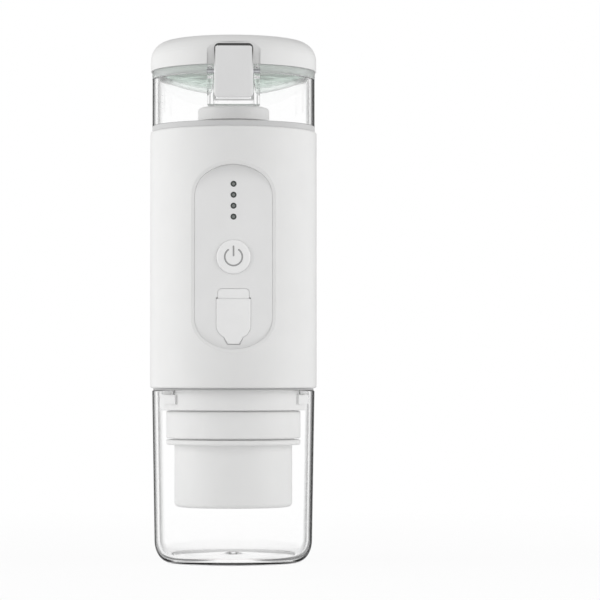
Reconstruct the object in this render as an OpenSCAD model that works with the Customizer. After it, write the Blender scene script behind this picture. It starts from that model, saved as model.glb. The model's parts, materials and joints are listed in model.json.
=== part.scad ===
// Portable espresso maker: a clear cup round a capsule holder, a round sleeve with cells,
// pump and heater inside, and a clear water tank under a hinged and latched lid.
// Millimetres, +Z up. The cup stands on z = 0, and the panel and the latch face -Y.

/* [Body sleeve] */
// Outside diameter of the sleeve
body_d = 70; // [66:0.5:80]
// Height of the sleeve
body_h = 107.6; // [104:0.2:130]
// Wall of the sleeve
body_wall = 2.4; // [1.8:0.1:3]
// Rounding of both ends of the sleeve
body_edge_r = 1; // [0.4:0.1:1.6]

/* [Control panel] */
// Width of the panel
panel_w = 31.9; // [28:0.1:36]
// Height of the panel
panel_h = 76; // [74:0.5:84]
// Height of the panel's middle over the sleeve's lower end
panel_rise = 53.9; // [50:0.1:56]
// Corner radius of the panel's arched ends
panel_corner_r = 11.5; // [8:0.1:13]
// Crown radius of the panel's arched ends
panel_crown_r = 19; // [18.2:0.1:26]
// Thickness of the panel
panel_t = 2; // [1.8:0.1:3]
// Depth of the panel's straight edges under the sleeve's surface
panel_sink = 0.7; // [0.3:0.1:1.2]
// Width of the bevel round the panel's recess
bevel_w = 1.3; // [0.6:0.1:2]
// Depth of the bevel round the panel's recess
bevel_depth = 0.6; // [0.3:0.1:1]
// Thickness of the tray behind the panel
tray_t = 1.6; // [1.2:0.1:2.2]
// Wall round the tray behind the panel
tray_wall = 1.8; // [1.2:0.1:2.4]

/* [Lights and button] */
// Number of lights in the row
led_count = 4; // [3:1:5]
// Spacing of the lights
led_pitch = 4.5; // [4:0.05:5]
// Diameter of a light window
led_d = 2.4; // [1.6:0.1:2.8]
// Height of the row's middle over the panel's middle
led_rise = 23.25; // [22:0.25:25]
// Diameter of the power button
button_d = 13.8; // [11:0.1:15]
// How far the button stands out of the panel
button_proud = 0.7; // [0.4:0.1:1.2]
// Travel of the button
button_travel = 0.8; // [0.5:0.1:1]
// Depth of the hollow in the button's face
button_hollow = 0.3; // [0.1:0.05:0.5]
// Rounding of the button's front edge
button_edge_r = 0.5; // [0.2:0.1:0.8]
// Width of the flange that keeps the button behind the panel
button_flange = 1.3; // [0.8:0.1:1.6]
// Thickness of that flange
button_flange_t = 1; // [0.8:0.1:1.4]
// Width of the dish round the button
dish_w = 1.7; // [1:0.1:2.5]
// Depth of the dish round the button
dish_depth = 0.5; // [0.2:0.1:0.8]

/* [Charging port] */
// Width of the flap
flap_w = 14; // [12.5:0.1:16]
// Length of the flap from its hinge to its pull tab
flap_len = 15.5; // [14.5:0.1:17]
// Corner radius at the flap's lower end
flap_corner_r = 5; // [3:0.1:6]
// Thickness of the flap
flap_t = 1.4; // [1.2:0.05:1.6]
// How far the flap stands out of the panel
flap_proud = 0.3; // [0:0.05:0.5]
// Width of the pull tab at its root
tab_w = 7.5; // [6:0.1:8]
// Width of the pull tab at its end
tab_end_w = 4.8; // [3:0.1:6]
// Length of the pull tab
tab_len = 2.6; // [2:0.1:3]
// Distance of the flap's hinge under the panel's middle
flap_drop = 17.8; // [15.5:0.1:18.5]
// Height of the fixed tab above the hinge
anchor_h = 3.6; // [3:0.1:4.2]
// Width of the fixed tab
anchor_w = 12.8; // [11:0.1:14]
// Distance of the socket's middle under the hinge
port_drop = 8.2; // [7:0.1:9.5]
// Outside width of the charging socket
port_w = 8.94; // [8.5:0.02:9.4]
// Outside height of the charging socket
port_h = 3.26; // [3:0.02:3.6]
// Sheet of the charging socket
port_wall = 0.3; // [0.2:0.05:0.4]

/* [Board] */
// Width of the board
board_w = 26; // [24:0.5:27]
// Height of the board
board_h = 68; // [66:0.5:74]
// Thickness of the board
board_t = 1.6; // [1:0.1:2]
// Room between the tray and the board
board_gap = 4.6; // [4.2:0.1:5.2]
// Diameter of the board's bosses
boss_d = 4.6; // [4:0.1:5.4]
// Sideways spacing of the board's bosses
boss_x = 19; // [18.5:0.5:20.5]
// Upright spacing of the board's bosses
boss_z = 60; // [58:0.5:61]
// Head diameter of the board's screws
board_head_d = 4.2; // [3.6:0.1:4.6]
// Head height of the board's screws
board_head_h = 1.2; // [0.8:0.1:1.6]
// Length of the board's screws in their bosses
board_bite = 2; // [1.5:0.1:3]

/* [Water tank] */
// Outside diameter of the tank
tank_d = 68.4; // [66:0.1:70]
// Height of the tank
tank_h = 19.8; // [18:0.1:30]
// Wall of the tank
tank_wall = 2.2; // [1.8:0.1:2.8]
// Thickness of the tank's floor at its middle
tank_floor = 2.2; // [1.8:0.1:2.6]
// Rise of the floor's slope at the wall
tank_slope = 3; // [1.5:0.1:4]
// Thickness of the gasket under the tank
gasket_t = 2.2; // [1.5:0.1:3]
// Diameter of the boss on the tank floor
cap_d = 30; // [28:0.5:36]
// Height of the boss on the tank floor
cap_h = 5.8; // [5.2:0.1:8]
// Rounding of the boss's top edge
cap_edge_r = 1.7; // [0.8:0.1:2]

/* [Lid] */
// Outside diameter of the lid
lid_d = 69.6; // [69:0.1:71]
// Height of the lid
lid_h = 14.4; // [14:0.1:20]
// Wall of the lid
lid_wall = 2.2; // [1.8:0.1:2.6]
// Radius of the lid's shoulder
lid_corner_r = 8; // [7:0.1:10]
// Radius of the lid's crown
lid_crown_r = 220; // [120:1:260]
// Height of the seal that shows under the lid
seal_t = 3.4; // [2.4:0.1:3.8]
// Depth of the bowl under the lid
bowl_depth = 6; // [4:0.1:6.4]
// Wall of the bowl under the lid
bowl_wall = 1.8; // [1.4:0.1:2.2]
// Diameter of the hinge pin
lid_pin_d = 2.4; // [2:0.1:2.8]
// Outside diameter of the hinge's knuckles
knuckle_d = 5.4; // [5:0.1:5.6]
// Width of the lid's knuckle
knuckle_w = 15.4; // [12:0.1:18]
// Height of the strap that joins the lid's knuckle to the lid
strap_rise = 5; // [3:0.1:5.6]
// Width of each hinge ear on the tank
ear_w = 3.4; // [2.6:0.1:4]

/* [Latch] */
// Width of the latch plate
latch_w = 16; // [14:0.1:18]
// Length of the plate above its pin
latch_up = 11.4; // [11:0.1:11.6]
// Length of the plate below its pin
latch_down = 10.8; // [10:0.1:11.2]
// Thickness of the plate
latch_t = 2.3; // [2:0.1:2.6]
// Width of the slope along the plate's front edges
latch_edge = 0.6; // [0.3:0.1:1]
// Corner radius of the plate
latch_corner_r = 2; // [1:0.1:3]
// Diameter of the latch pin
latch_pin_d = 2; // [1.6:0.1:2.2]
// Diameter of the plate's eye round the pin
latch_eye_d = 3.8; // [3.6:0.1:4]
// Width of the hook
hook_w = 10; // [8:0.1:11]
// Height of the hook
hook_h = 2; // [1.6:0.1:2.2]
// Overlap of the hook and the lid's ledge
hook_grip = 1.1; // [0.8:0.05:1.2]
// Thickness of each guard cheek
guard_t = 2.6; // [2:0.1:3.2]
// Height of the bar under the plate
guard_bar_h = 2.8; // [2:0.1:3.2]
// Wall behind the lid's recess
recess_wall = 2; // [1.6:0.1:2.2]
// Depth of the lid's recess under the lid's front
recess_depth = 2; // [1.8:0.1:3]
// Height of the lid's recess over the plate
recess_over = 1.3; // [1:0.1:1.5]

/* [Cup] */
// Height of the cup
cup_h = 72.2; // [70:0.2:90]
// Diameter of the cup's rim
cup_rim_d = 68.3; // [68:0.1:70]
// Diameter of the cup over its lower corner
cup_low_d = 66.2; // [64:0.1:67.5]
// Wall of the cup
cup_wall = 2.2; // [1.8:0.1:2.3]
// Thickness of the cup's floor
cup_floor = 2.6; // [2.2:0.1:5]
// Radius of the cup's lower corner
cup_corner_r = 9.4; // [7:0.1:13]
// Diameter of the hollow under the foot
foot_hollow_d = 36; // [30:0.5:42]
// Depth of the hollow under the foot
foot_hollow = 0.8; // [0.4:0.1:1.4]
// Diameter of the round rise in the middle of the cup's floor
gate_d = 8.2; // [6:0.1:12]
// Height of that rise
gate_h = 1; // [0.4:0.1:1.6]
// Thickness of the seal on the cup's rim
cup_seal_t = 0.7; // [0.5:0.05:1]

/* [Brew head] */
// Diameter of the collar under the sleeve
collar_d = 61.6; // [61:0.1:62]
// Height of the collar under the sleeve
collar_h = 9.2; // [9:0.1:12]
// Thickness of the collar's flange in the sleeve
collar_flange_t = 4; // [3.4:0.1:5]
// Number of cup lugs
lug_count = 3; // [2:1:4]
// Angle of the first lug from the front, towards -X
lug_start = 56; // [40:1:70]
// Width of a lug round the collar in degrees
lug_angle = 17; // [12:0.5:20]
// Height of a lug
lug_h = 3.8; // [3:0.1:4.2]
// How far a lug stands out
lug_out = 0.9; // [0.8:0.05:1]
// Height of a lug in the cup
cup_lug_h = 1.7; // [1.4:0.05:1.9]
// Diameter of the shower plate
shower_d = 45.4; // [43:0.1:45.6]
// Thickness of the shower plate
shower_t = 1.2; // [1:0.1:1.6]
// Diameter of a water hole
hole_d = 1; // [0.6:0.1:1.4]
// Length of the needles under the shower plate
needle_len = 4; // [2:0.1:5]

/* [Capsule holder] */
// Diameter of the holder's ring
ring_d = 56.4; // [55.5:0.1:58]
// Height of the holder's ring
ring_h = 11.4; // [10.8:0.1:12]
// Wall of the holder's ring
ring_wall = 2.6; // [2.2:0.1:3]
// Height of the groove under the ring
ring_groove = 0.6; // [0.3:0.05:0.9]
// Height of the holder's flange
flange_h = 2.1; // [1.6:0.1:3]
// Diameter of the holder's cylinder
holder_d = 49.4; // [48.4:0.1:50]
// Height of the holder's cylinder under its flange
holder_h = 26; // [24:0.1:27]
// Wall of the holder's cylinder
holder_wall = 2.5; // [2:0.1:2.8]
// Rounding of the cylinder's lower edge
holder_edge_r = 2; // [1:0.1:3]
// Bore of the outlet
spout_d = 6; // [4:0.1:8]
// Sheet of the filter basket
basket_wall = 0.6; // [0.4:0.05:0.8]
// Thickness of the holder's seal
holder_seal_t = 1; // [0.8:0.05:1.3]

/* [Inside] */
// Diameter of a cell
cell_d = 18.4; // [18:0.1:18.8]
// Length of a cell
cell_len = 65; // [64:0.1:66]
// Thickness of the cells' contact strips
strip_t = 0.3; // [0.2:0.05:0.4]
// Width of a contact strip between two cells
strip_w = 6; // [4:0.5:7]
// Diameter of a contact strip's pad on a cell
strip_pad_d = 10; // [8:0.5:12]
// Gap between neighbouring cells
cell_gap = 0.6; // [0.4:0.1:1]
// Gap between the cells and the sleeve
cell_wall_gap = 1.2; // [0.8:0.1:2]
// Thickness of the frame's two plates
frame_t = 2; // [1.6:0.1:2.6]
// Height of the frame's legs
leg_h = 18; // [17:0.1:20]
// Diameter of the frame's posts
post_d = 5.2; // [4.8:0.1:5.6]
// Diameter of the long screws
screw_d = 2.6; // [2:0.1:3]
// Height of the long screws' heads
screw_head_h = 1.8; // [1.4:0.1:2.2]
// Depth of the long screws' grip in the deck
screw_bite = 6; // [4:0.1:8]
// Collar left outside the long screws' heads
head_wall = 0.8; // [0.6:0.1:1.2]
// Diameter of the heater
heater_d = 46; // [44:0.5:48]
// Height of the heater
heater_h = 14; // [12:0.1:14.4]
// Diameter of the pump motor
motor_d = 24.4; // [23:0.1:25]
// Length of the pump motor
motor_len = 30.8; // [28:0.1:33]
// Diameter of the motor's shaft
shaft_d = 3.2; // [2.6:0.1:3.6]
// Diameter of the pump head
pump_d = 25; // [24:0.1:26]
// Height of the pump head
pump_h = 22; // [21:0.1:24]
// Diameter of the cam
cam_d = 8; // [7:0.1:8.4]
// Offset of the cam
cam_offset = 1.5; // [1:0.1:1.7]
// Outside diameter of a hose
hose_d = 6; // [5.4:0.1:6.4]
// Bore of a hose
hose_bore = 3.8; // [3.2:0.1:4]
// Thickness of the deck under the tank
deck_t = 4; // [3.6:0.1:5]

/* [Clearances] */
// Gap between pieces that are fixed together
fit_gap = 0.15; // [0.05:0.05:0.25]
// Gap round the panel in its recess
recess_gap = 0.05; // [0.02:0.01:0.15]
// Gap between pieces that move past each other
move_gap = 0.3; // [0.25:0.05:0.5]
// Gap round the button and the flap in the panel
panel_gap = 0.15; // [0.1:0.05:0.3]
// Radial clearance of a pin in its bore
pin_gap = 0.05; // [0.02:0.01:0.08]
// Gap of a seal or face that only touches in use
touch_gap = 0.1; // [0.05:0.05:0.2]

/* [Hidden] */
$fn = 96;
// Steps of a drawn arc
arc_n = 8;
// Overlap that joins shapes of one piece, and overshoot of a cut
eps = 0.5;

// Levels of the stack
z_body = cup_h + cup_seal_t + touch_gap;
z_deck = z_body + body_h;
z_tank = z_deck + gasket_t;
z_rim = z_tank + tank_h;
z_lid = z_rim + seal_t;
z_top = z_lid + lid_h;

// Radii of the stack
body_r = body_d / 2;
body_ri = body_r - body_wall;
tank_r = tank_d / 2;
tank_ri = tank_r - tank_wall;
lid_r = lid_d / 2;
cup_rim_r = cup_rim_d / 2;
cup_low_r = cup_low_d / 2;

// Share of the bevel's slope by which its cutter runs on at both ends
bevel_run_on = 0.4;

// Panel and what lies behind it, as planes along Y
panel_z = z_body + panel_rise;
panel_y = panel_sink - sqrt(pow(body_r, 2) - pow(panel_w / 2, 2));
panel_back = panel_y + panel_t;
tray_back = panel_back + tray_t;
board_y = tray_back + board_gap;
button_r = button_d / 2;
button_flange_r = button_r + button_flange;
// Width, depth and height of a light's chip on the board
chip = [2, 1, 1.2];

// Charging port
flap_z = panel_z - flap_drop;
flap_face = panel_y - flap_proud;
flap_axis_y = flap_face + flap_t / 2;
flap_seat_y = flap_face + flap_t + touch_gap;
port_z = flap_z - port_drop;
port_y = flap_seat_y + touch_gap;
hinge_gap = 0.4;
anchor_z = flap_z + flap_t / 2 + hinge_gap;
tab_root = 1.5;

// Inlet of the tank
spigot_r = 10.4;
spigot_over = 2.6;
z_cap = z_tank + tank_floor;
cap_r = cap_d / 2;
cap_ledge = 1;

// Liner and seal under the lid, which fit the tank or the lid, whichever is narrower
liner_gap = 0.8;
liner_r = min(tank_ri, lid_r - lid_wall) - liner_gap;
seal_r = min(tank_r, lid_r);

// Hinge of the lid, clear of the tank and the lid
hinge_drop = 0.6;
hinge_y = max(lid_r, tank_r) + knuckle_d / 2 + touch_gap;
hinge_z = z_lid - hinge_drop;
ear_x = knuckle_w / 2 + move_gap;

// Latch, planes along Y and levels
eye_gap = 0.5;
bar_gap = 0.6;
hook_inset = 0.8;
latch_pin_y = -(tank_r + latch_eye_d / 2 + eye_gap);
latch_pin_z = z_rim;
latch_face = latch_pin_y - latch_eye_d / 2;
latch_back = latch_face + latch_t;
guard_x = latch_w / 2 + move_gap;
guard_face = latch_face + move_gap;
guard_root = tank_r - tank_wall / 2;
bar_top = latch_pin_z - latch_down - bar_gap;
guard_bottom = bar_top - guard_bar_h;
recess_y = recess_depth - lid_r;
recess_x = guard_x + guard_t;
recess_top = latch_pin_z + latch_up + recess_over;
recess_corner_r = 2.5;
hook_top = latch_pin_z + latch_up - hook_inset;
hook_tip = recess_y + hook_grip;

// Cup mouth and brew head
z_collar = z_body - collar_h;
collar_r = collar_d / 2;
lug_z = cup_h - cup_lug_h - move_gap - lug_h;
cup_lug_r = collar_r + move_gap;
z_flange_top = z_body + collar_flange_t;
z_ring_top = z_collar - move_gap;
z_ring = z_ring_top - ring_h;
z_flange = z_ring - ring_groove;
z_holder_top = z_flange - flange_h;
z_holder = z_holder_top - holder_h;
ring_r = ring_d / 2;
ring_ri = ring_r - ring_wall;
neck_r = ring_ri - touch_gap;
neck_h = 2;
spigot_out_r = ring_ri - move_gap;
z_neck = z_flange + neck_h;
z_seal = z_neck + holder_seal_t;
z_spigot = z_seal + touch_gap;
holder_r = holder_d / 2;
holder_ri = holder_r - holder_wall;
basket_r = holder_ri - move_gap;
basket_rim_w = 2;
basket_rim_r = basket_r + basket_rim_w;
shower_r = shower_d / 2;
shower_pocket_r = shower_r + fit_gap;
shower_recess = 0.5;
z_shower = z_spigot + shower_recess;
nozzle_r = 4;
hole_rim = 4;
spigot_roof = 12;

// Frame, cells and pump
z_frame = z_flange_top + leg_h;
z_cells = z_frame + frame_t + strip_t;
z_frame_top = z_cells + cell_len + strip_t + touch_gap;
z_posts = z_frame_top + frame_t;
z_deck_low = z_deck - deck_t;
inner_r = body_ri - fit_gap;
cell_r = cell_d / 2;
screw_hole_r = screw_d / 2 + touch_gap;
screw_head_r = screw_d * 0.85;
frame_front = board_y + board_t + board_head_h + move_gap;

// Posts stand inside the sleeve, and inside the collar that their screws pass
post_gap = 0.6;
post_ring_r = min(
    inner_r - post_d / 2 - post_gap,
    collar_r - head_wall - touch_gap - screw_head_r
);

// Cells lie against the sleeve or against the posts between them, whichever comes first
cell_half = (cell_d + cell_gap) / 2;
post_reach = sqrt(pow(cell_r + post_d / 2 + move_gap, 2) - pow(cell_half, 2));
cell_ring_r = min(
    body_ri - cell_r - cell_wall_gap,
    sqrt(pow(post_ring_r - post_reach, 2) + pow(cell_half, 2))
);
cell_step = 2 * asin(cell_half / cell_ring_r);
post_angles = [90 - cell_step / 2, 90 + cell_step / 2, 200, 340];

// Pump and hoses
motor_y = -2.5;
z_pump = z_frame + frame_t;
z_motor = z_pump + pump_h;
z_motor_top = z_motor + motor_len;
hose_x = 14;
hose_y = -13;
hose_r = hose_d / 2;
nipple_r = hose_bore / 2 - touch_gap;
nipple_len = 2.8;
port_boss_r = 4;
port_boss_h = 6;
z_inlet = z_pump + pump_h - port_boss_h;
z_outlet = z_pump + port_boss_h / 2;
z_heater_top = z_flange_top + heater_h;
z_cam = z_pump + 12;
cam_h = 6;
chamber_r = cam_d / 2 + cam_offset + 0.8;
plunger_r = 2.5;
// Width, thickness and height of a motor's solder tag
tag = [2.5, 0.5, 4];
lead_x = 6;
lead_r = 0.7;
z_lead = z_motor_top + tag[2] / 2;
shaft_end = 1.5;

// Colours
white = [0.92, 0.92, 0.91];
grey = [0.72, 0.72, 0.72];
clear = [0.85, 0.9, 0.9, 0.35];
soft = [0.8, 0.82, 0.8];
steel = [0.75, 0.76, 0.78];
dark = [0.2, 0.22, 0.22];
green = [0.1, 0.35, 0.2];
blue = [0.2, 0.35, 0.6];

// Points of an arc, with or without its two ends
function arc_pts(c, r, a0, a1) =
    [for (i = [0:arc_n]) let (a = a0 + (a1 - a0) * i / arc_n) c + r * [cos(a), sin(a)]];
function arc_inner(c, r, a0, a1) =
    [for (i = [1:arc_n - 1]) let (a = a0 + (a1 - a0) * i / arc_n) c + r * [cos(a), sin(a)]];

// Depth of a cylinder's front surface at a sideways position
function front_of(r, x) = -sqrt(pow(r, 2) - pow(x, 2));

// Outline of the panel, grown all round by g, from its right side counter-clockwise
function panel_pts(g) =
    let (cx = panel_w / 2 - panel_corner_r)
    let (up = panel_h / 2 - panel_crown_r)
    let (cz = up + sqrt(pow(panel_crown_r - panel_corner_r, 2) - pow(cx, 2)))
    let (b = atan2(cz - up, cx))
    concat(
        arc_pts([cx, cz], panel_corner_r + g, 0, b),
        arc_inner([0, up], panel_crown_r + g, b, 180 - b),
        arc_pts([-cx, cz], panel_corner_r + g, 180 - b, 180),
        arc_pts([-cx, -cz], panel_corner_r + g, 180, 180 + b),
        arc_inner([0, -up], panel_crown_r + g, 180 + b, 360 - b),
        arc_pts([cx, -cz], panel_corner_r + g, 360 - b, 360)
    );

// Half section of a dome with a rounded shoulder that runs into its crown
function dome_pts(r, z0, z1, corner, crown) =
    let (up = z1 - crown)
    let (cz = up + sqrt(pow(crown - corner, 2) - pow(r - corner, 2)))
    let (b = atan2(cz - up, r - corner))
    concat(
        [[0, z0], [r, z0]],
        arc_pts([r - corner, cz], corner, 0, b),
        arc_inner([0, up], crown, b, 90),
        [[0, z1]]
    );

// Flat shape in X and Z, as a plate whose front face lies at y
module front_plate(y, t) {
    translate([0, y + t, 0])
        rotate([90, 0, 0])
            linear_extrude(t)
                children();
}

// Flat shape in Y and Z, as a plate from x onwards
module side_plate(x, t) {
    translate([x, 0, 0])
        rotate([90, 0, 90])
            linear_extrude(t)
                children();
}

// Round bar along X about the middle plane
module x_bar(r, len, y, z) {
    translate([-len / 2, y, z])
        rotate([0, 90, 0])
            cylinder(r = r, h = len);
}

// Round bar along Y between two planes
module y_bar(r, x, y0, y1, z) {
    translate([x, y0, z])
        rotate([-90, 0, 0])
            cylinder(r = r, h = y1 - y0);
}

// Round tube standing on a level
module tube(r, ri, z0, z1) {
    difference() {
        translate([0, 0, z0])
            cylinder(r = r, h = z1 - z0);
        translate([0, 0, z0 - eps])
            cylinder(r = ri, h = z1 - z0 + 2 * eps);
    }
}

// Flat rectangle with round corners
module round_rect(w, h, r) {
    square([w - 2 * r, h], center = true);
    square([w, h - 2 * r], center = true);
    for (sx = [-1, 1], sz = [-1, 1])
        translate([sx * (w / 2 - r), sz * (h / 2 - r)])
            circle(r = r);
}

// Sector of a ring, centred on an angle
module sector(r0, r1, z0, z1, middle, width) {
    rotate([0, 0, middle - width / 2])
        rotate_extrude(angle = width)
            translate([r0, z0])
                square([r1 - r0, z1 - z0]);
}

// Places of the cells, posts, water holes and cup lugs
module at_cells() {
    for (i = [-1, 0, 1])
        rotate([0, 0, 90 + i * cell_step])
            translate([cell_ring_r, 0, 0])
                children();
}

module at_posts() {
    for (a = post_angles)
        rotate([0, 0, a])
            translate([post_ring_r, 0, 0])
                children();
}

module at_holes(reach) {
    children();
    for (ring = [1:2], i = [0:6 * ring - 1])
        rotate([0, 0, 60 / ring * i])
            translate([reach * ring / 2, 0, 0])
                children();
}

module at_bosses() {
    for (sx = [-1, 1], sz = [-1, 1])
        translate([sx * boss_x / 2, 0, panel_z + sz * boss_z / 2])
            children();
}

module at_leds() {
    for (i = [0:led_count - 1])
        translate([0, 0, panel_z + led_rise + (i - (led_count - 1) / 2) * led_pitch])
            children();
}

// Cutter that bevels the recess along the sleeve's round surface. Its slope runs on past that
// surface and past the recess's wall, so it crosses both at an angle.
module bevel_cutter() {
    low = panel_pts(recess_gap - bevel_run_on * bevel_w);
    high = panel_pts(recess_gap + (1 + bevel_run_on) * bevel_w);
    sink = (1 + bevel_run_on) * bevel_depth;
    rise = bevel_run_on * bevel_depth;
    n = len(low);
    front = -(body_r + eps);
    pts = concat(
        [for (p = low) [p[0], front_of(body_r, p[0]) + sink, panel_z + p[1]]],
        [for (p = high) [p[0], front_of(body_r, p[0]) - rise, panel_z + p[1]]],
        [for (p = high) [p[0], front, panel_z + p[1]]],
        [[0, sink - body_r, panel_z], [0, front, panel_z]]
    );
    faces = [for (i = [0:n - 1]) let (j = (i + 1) % n) each [
        [3 * n, i, j],
        [n + i, n + j, j],
        [n + i, j, i],
        [2 * n + i, 2 * n + j, n + j],
        [2 * n + i, n + j, n + i],
        [3 * n + 1, 2 * n + j, 2 * n + i]
    ]];
    polyhedron(points = pts, faces = faces);
}

// Outline of the flap under its hinge and of its pull tab, grown all round by g
module flap_outline(g) {
    half = flap_w / 2 + g;
    r = flap_corner_r + g;
    low = -flap_len - g;
    root_x = tab_w / 2 + g;
    end_x = tab_end_w / 2 + g;
    polygon(concat(
        [[half, g], [-half, g]],
        arc_pts([r - half, low + r], r, 180, 270),
        arc_pts([half - r, low + r], r, 270, 360)
    ));
    polygon([
        [-root_x, low + tab_root],
        [-root_x, low],
        [-end_x, low - tab_len],
        [end_x, low - tab_len],
        [root_x, low],
        [root_x, low + tab_root]
    ]);
}

// Outline of the fixed tab above the hinge
module anchor_outline(g) {
    half = anchor_w / 2 + g;
    r = 1.5 + g;
    top = anchor_h + g;
    polygon(concat(
        [[-half, -g], [half, -g]],
        arc_pts([half - r, top - r], r, 0, 90),
        arc_pts([r - half, top - r], r, 90, 180)
    ));
}

module body_shell() {
    e = body_edge_r;
    color(white)
        difference() {
            union() {
                rotate_extrude()
                    polygon(concat(
                        [[body_ri, z_deck], [body_ri, z_body]],
                        arc_pts([body_r - e, z_body + e], e, -90, 0),
                        arc_pts([body_r - e, z_deck - e], e, 0, 90)
                    ));
                intersection() {
                    translate([0, 0, z_body])
                        cylinder(r = body_r - body_wall / 2, h = body_h);
                    front_plate(-body_r, body_r + tray_back)
                        translate([0, panel_z])
                            polygon(panel_pts(recess_gap + tray_wall));
                }
                at_bosses()
                    y_bar(boss_d / 2, 0, tray_back - eps, board_y, 0);
            }
            bevel_cutter();
            front_plate(-body_r - eps, body_r + eps + panel_back)
                translate([0, panel_z])
                    polygon(panel_pts(recess_gap));
            at_leds()
                y_bar(led_d / 2 + move_gap, 0, panel_back - eps, tray_back + eps, 0);
            y_bar(button_flange_r + move_gap, 0, panel_back - eps, tray_back + eps, panel_z);
            front_plate(panel_back - eps, tray_t + 2 * eps)
                translate([0, port_z])
                    square([port_w + 2 * move_gap, port_h + 2 * move_gap], center = true);
            at_bosses()
                y_bar(screw_d / 2 - 2 * fit_gap, 0, tray_back + eps, board_y + eps, 0);
        }
}

module control_panel() {
    dish_r = button_r + dish_w;
    dish_ball = (pow(dish_r, 2) + pow(dish_depth, 2)) / (2 * dish_depth);
    color(grey)
        difference() {
            front_plate(panel_y, panel_t)
                translate([0, panel_z])
                    polygon(panel_pts(0));
            at_leds()
                y_bar(led_d / 2 + pin_gap, 0, panel_y - eps, panel_back + eps, 0);
            y_bar(button_r + panel_gap, 0, panel_y - eps, panel_back + eps, panel_z);
            translate([0, panel_y + dish_depth - dish_ball, panel_z])
                sphere(r = dish_ball, $fn = 200);
            front_plate(panel_y - eps, flap_seat_y - panel_y + eps)
                union() {
                    translate([0, flap_z])
                        flap_outline(panel_gap);
                    translate([0, flap_z])
                        square([flap_w + 2 * panel_gap, 2 * (anchor_z - flap_z)], center = true);
                    translate([0, anchor_z])
                        anchor_outline(touch_gap);
                }
            front_plate(flap_seat_y - eps, panel_back - flap_seat_y + 2 * eps)
                translate([0, port_z])
                    round_rect(port_w + 2 * fit_gap, port_h + 2 * fit_gap, port_h / 2);
        }
}

module light_pipes() {
    color(dark)
        at_leds()
            y_bar(led_d / 2, 0, panel_y, board_y - chip[1] - move_gap, 0);
}

module status_leds() {
    color(white)
        at_leds()
            translate([-chip[0] / 2, board_y - chip[1], -chip[2] / 2])
                cube(chip);
}

module power_button() {
    face = panel_y - button_proud;
    flange = panel_back + touch_gap;
    back = flange + button_flange_t;
    e = button_edge_r;
    ball = (pow(button_r - e, 2) + pow(button_hollow, 2)) / (2 * button_hollow);
    color(white)
        translate([0, 0, panel_z])
            difference() {
                rotate([-90, 0, 0])
                    rotate_extrude()
                        polygon(concat(
                            [[0, back], [button_flange_r, back]],
                            [[button_flange_r, flange], [button_r, flange]],
                            arc_pts([button_r - e, face + e], e, 0, -90),
                            [[0, face]]
                        ));
                translate([0, face + button_hollow - ball, 0])
                    sphere(r = ball, $fn = 200);
            }
}

module power_switch() {
    tip = panel_back + 2 * touch_gap + button_flange_t + button_travel;
    side = 6;
    tip_r = 1.6;
    tip_len = 1;
    base = tip + tip_len;
    color(dark) {
        translate([-side / 2, base, panel_z - side / 2])
            cube([side, board_y - base, side]);
        y_bar(tip_r, 0, tip, base + touch_gap, panel_z);
    }
}

module charge_socket() {
    len = board_y - port_y;
    lip = 1.6;
    back = 1;
    tongue = [6.7, 0.7];
    in_w = port_w - 2 * port_wall;
    in_h = port_h - 2 * port_wall;
    in_r = in_h * 0.4;
    color(steel)
        difference() {
            front_plate(port_y, len)
                translate([0, port_z])
                    round_rect(port_w, port_h, in_r + port_wall);
            difference() {
                front_plate(port_y - eps, len - back + eps)
                    translate([0, port_z])
                        round_rect(in_w, in_h, in_r);
                front_plate(port_y + lip, len)
                    translate([0, port_z])
                        square(tongue, center = true);
            }
        }
}

module port_flap() {
    plug_h = port_h - 2 * port_wall - 2 * move_gap;
    plug_w = port_w - 2 * port_wall - 2 * move_gap;
    plug_len = 1;
    color(white) {
        difference() {
            front_plate(flap_face, flap_t)
                translate([0, flap_z])
                    flap_outline(0);
            translate([-flap_w, flap_face - eps, flap_z - eps / 4])
                cube([2 * flap_w, flap_t + 2 * eps, flap_w]);
        }
        x_bar(flap_t / 2, flap_w, flap_axis_y, flap_z);
        front_plate(flap_face + flap_t / 2, flap_t / 2 + 2 * touch_gap + plug_len)
            translate([0, port_z])
                round_rect(plug_w, plug_h, plug_h * 0.4);
    }
}

module flap_anchor() {
    color(white)
        front_plate(panel_y, flap_seat_y - panel_y)
            translate([0, anchor_z])
                anchor_outline(0);
}

module control_board() {
    color(green)
        difference() {
            translate([-board_w / 2, board_y, panel_z - board_h / 2])
                cube([board_w, board_t, board_h]);
            at_bosses()
                y_bar(screw_d / 2, 0, board_y - eps, board_y + board_t + eps, 0);
        }
}

module board_screws() {
    r = screw_d / 2 - 3 * fit_gap;
    color(steel)
        at_bosses() {
            y_bar(r, 0, board_y - board_bite, board_y + board_t + eps, 0);
            y_bar(board_head_d / 2, 0, board_y + board_t, board_y + board_t + board_head_h, 0);
        }
}

module inner_frame() {
    color(grey)
        difference() {
            union() {
                intersection() {
                    union() {
                        translate([0, 0, z_frame])
                            cylinder(r = inner_r, h = frame_t);
                        translate([0, 0, z_frame_top])
                            cylinder(r = inner_r, h = frame_t);
                    }
                    translate([-body_r, frame_front, 0])
                        cube([body_d, body_d, z_top]);
                }
                at_posts()
                    translate([0, 0, z_flange_top])
                        cylinder(d = post_d, h = z_frame_top + frame_t - z_flange_top);
            }
            at_posts()
                cylinder(r = screw_hole_r, h = z_top);
            translate([hose_x, hose_y, z_frame - eps])
                cylinder(r = hose_r + move_gap, h = frame_t + 2 * eps);
            translate([-hose_x, hose_y, z_frame_top - eps])
                cylinder(r = hose_r + move_gap, h = frame_t + 2 * eps);
        }
}

module battery_cells() {
    color(blue)
        at_cells()
            translate([0, 0, z_cells])
                cylinder(d = cell_d, h = cell_len);
}

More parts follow.
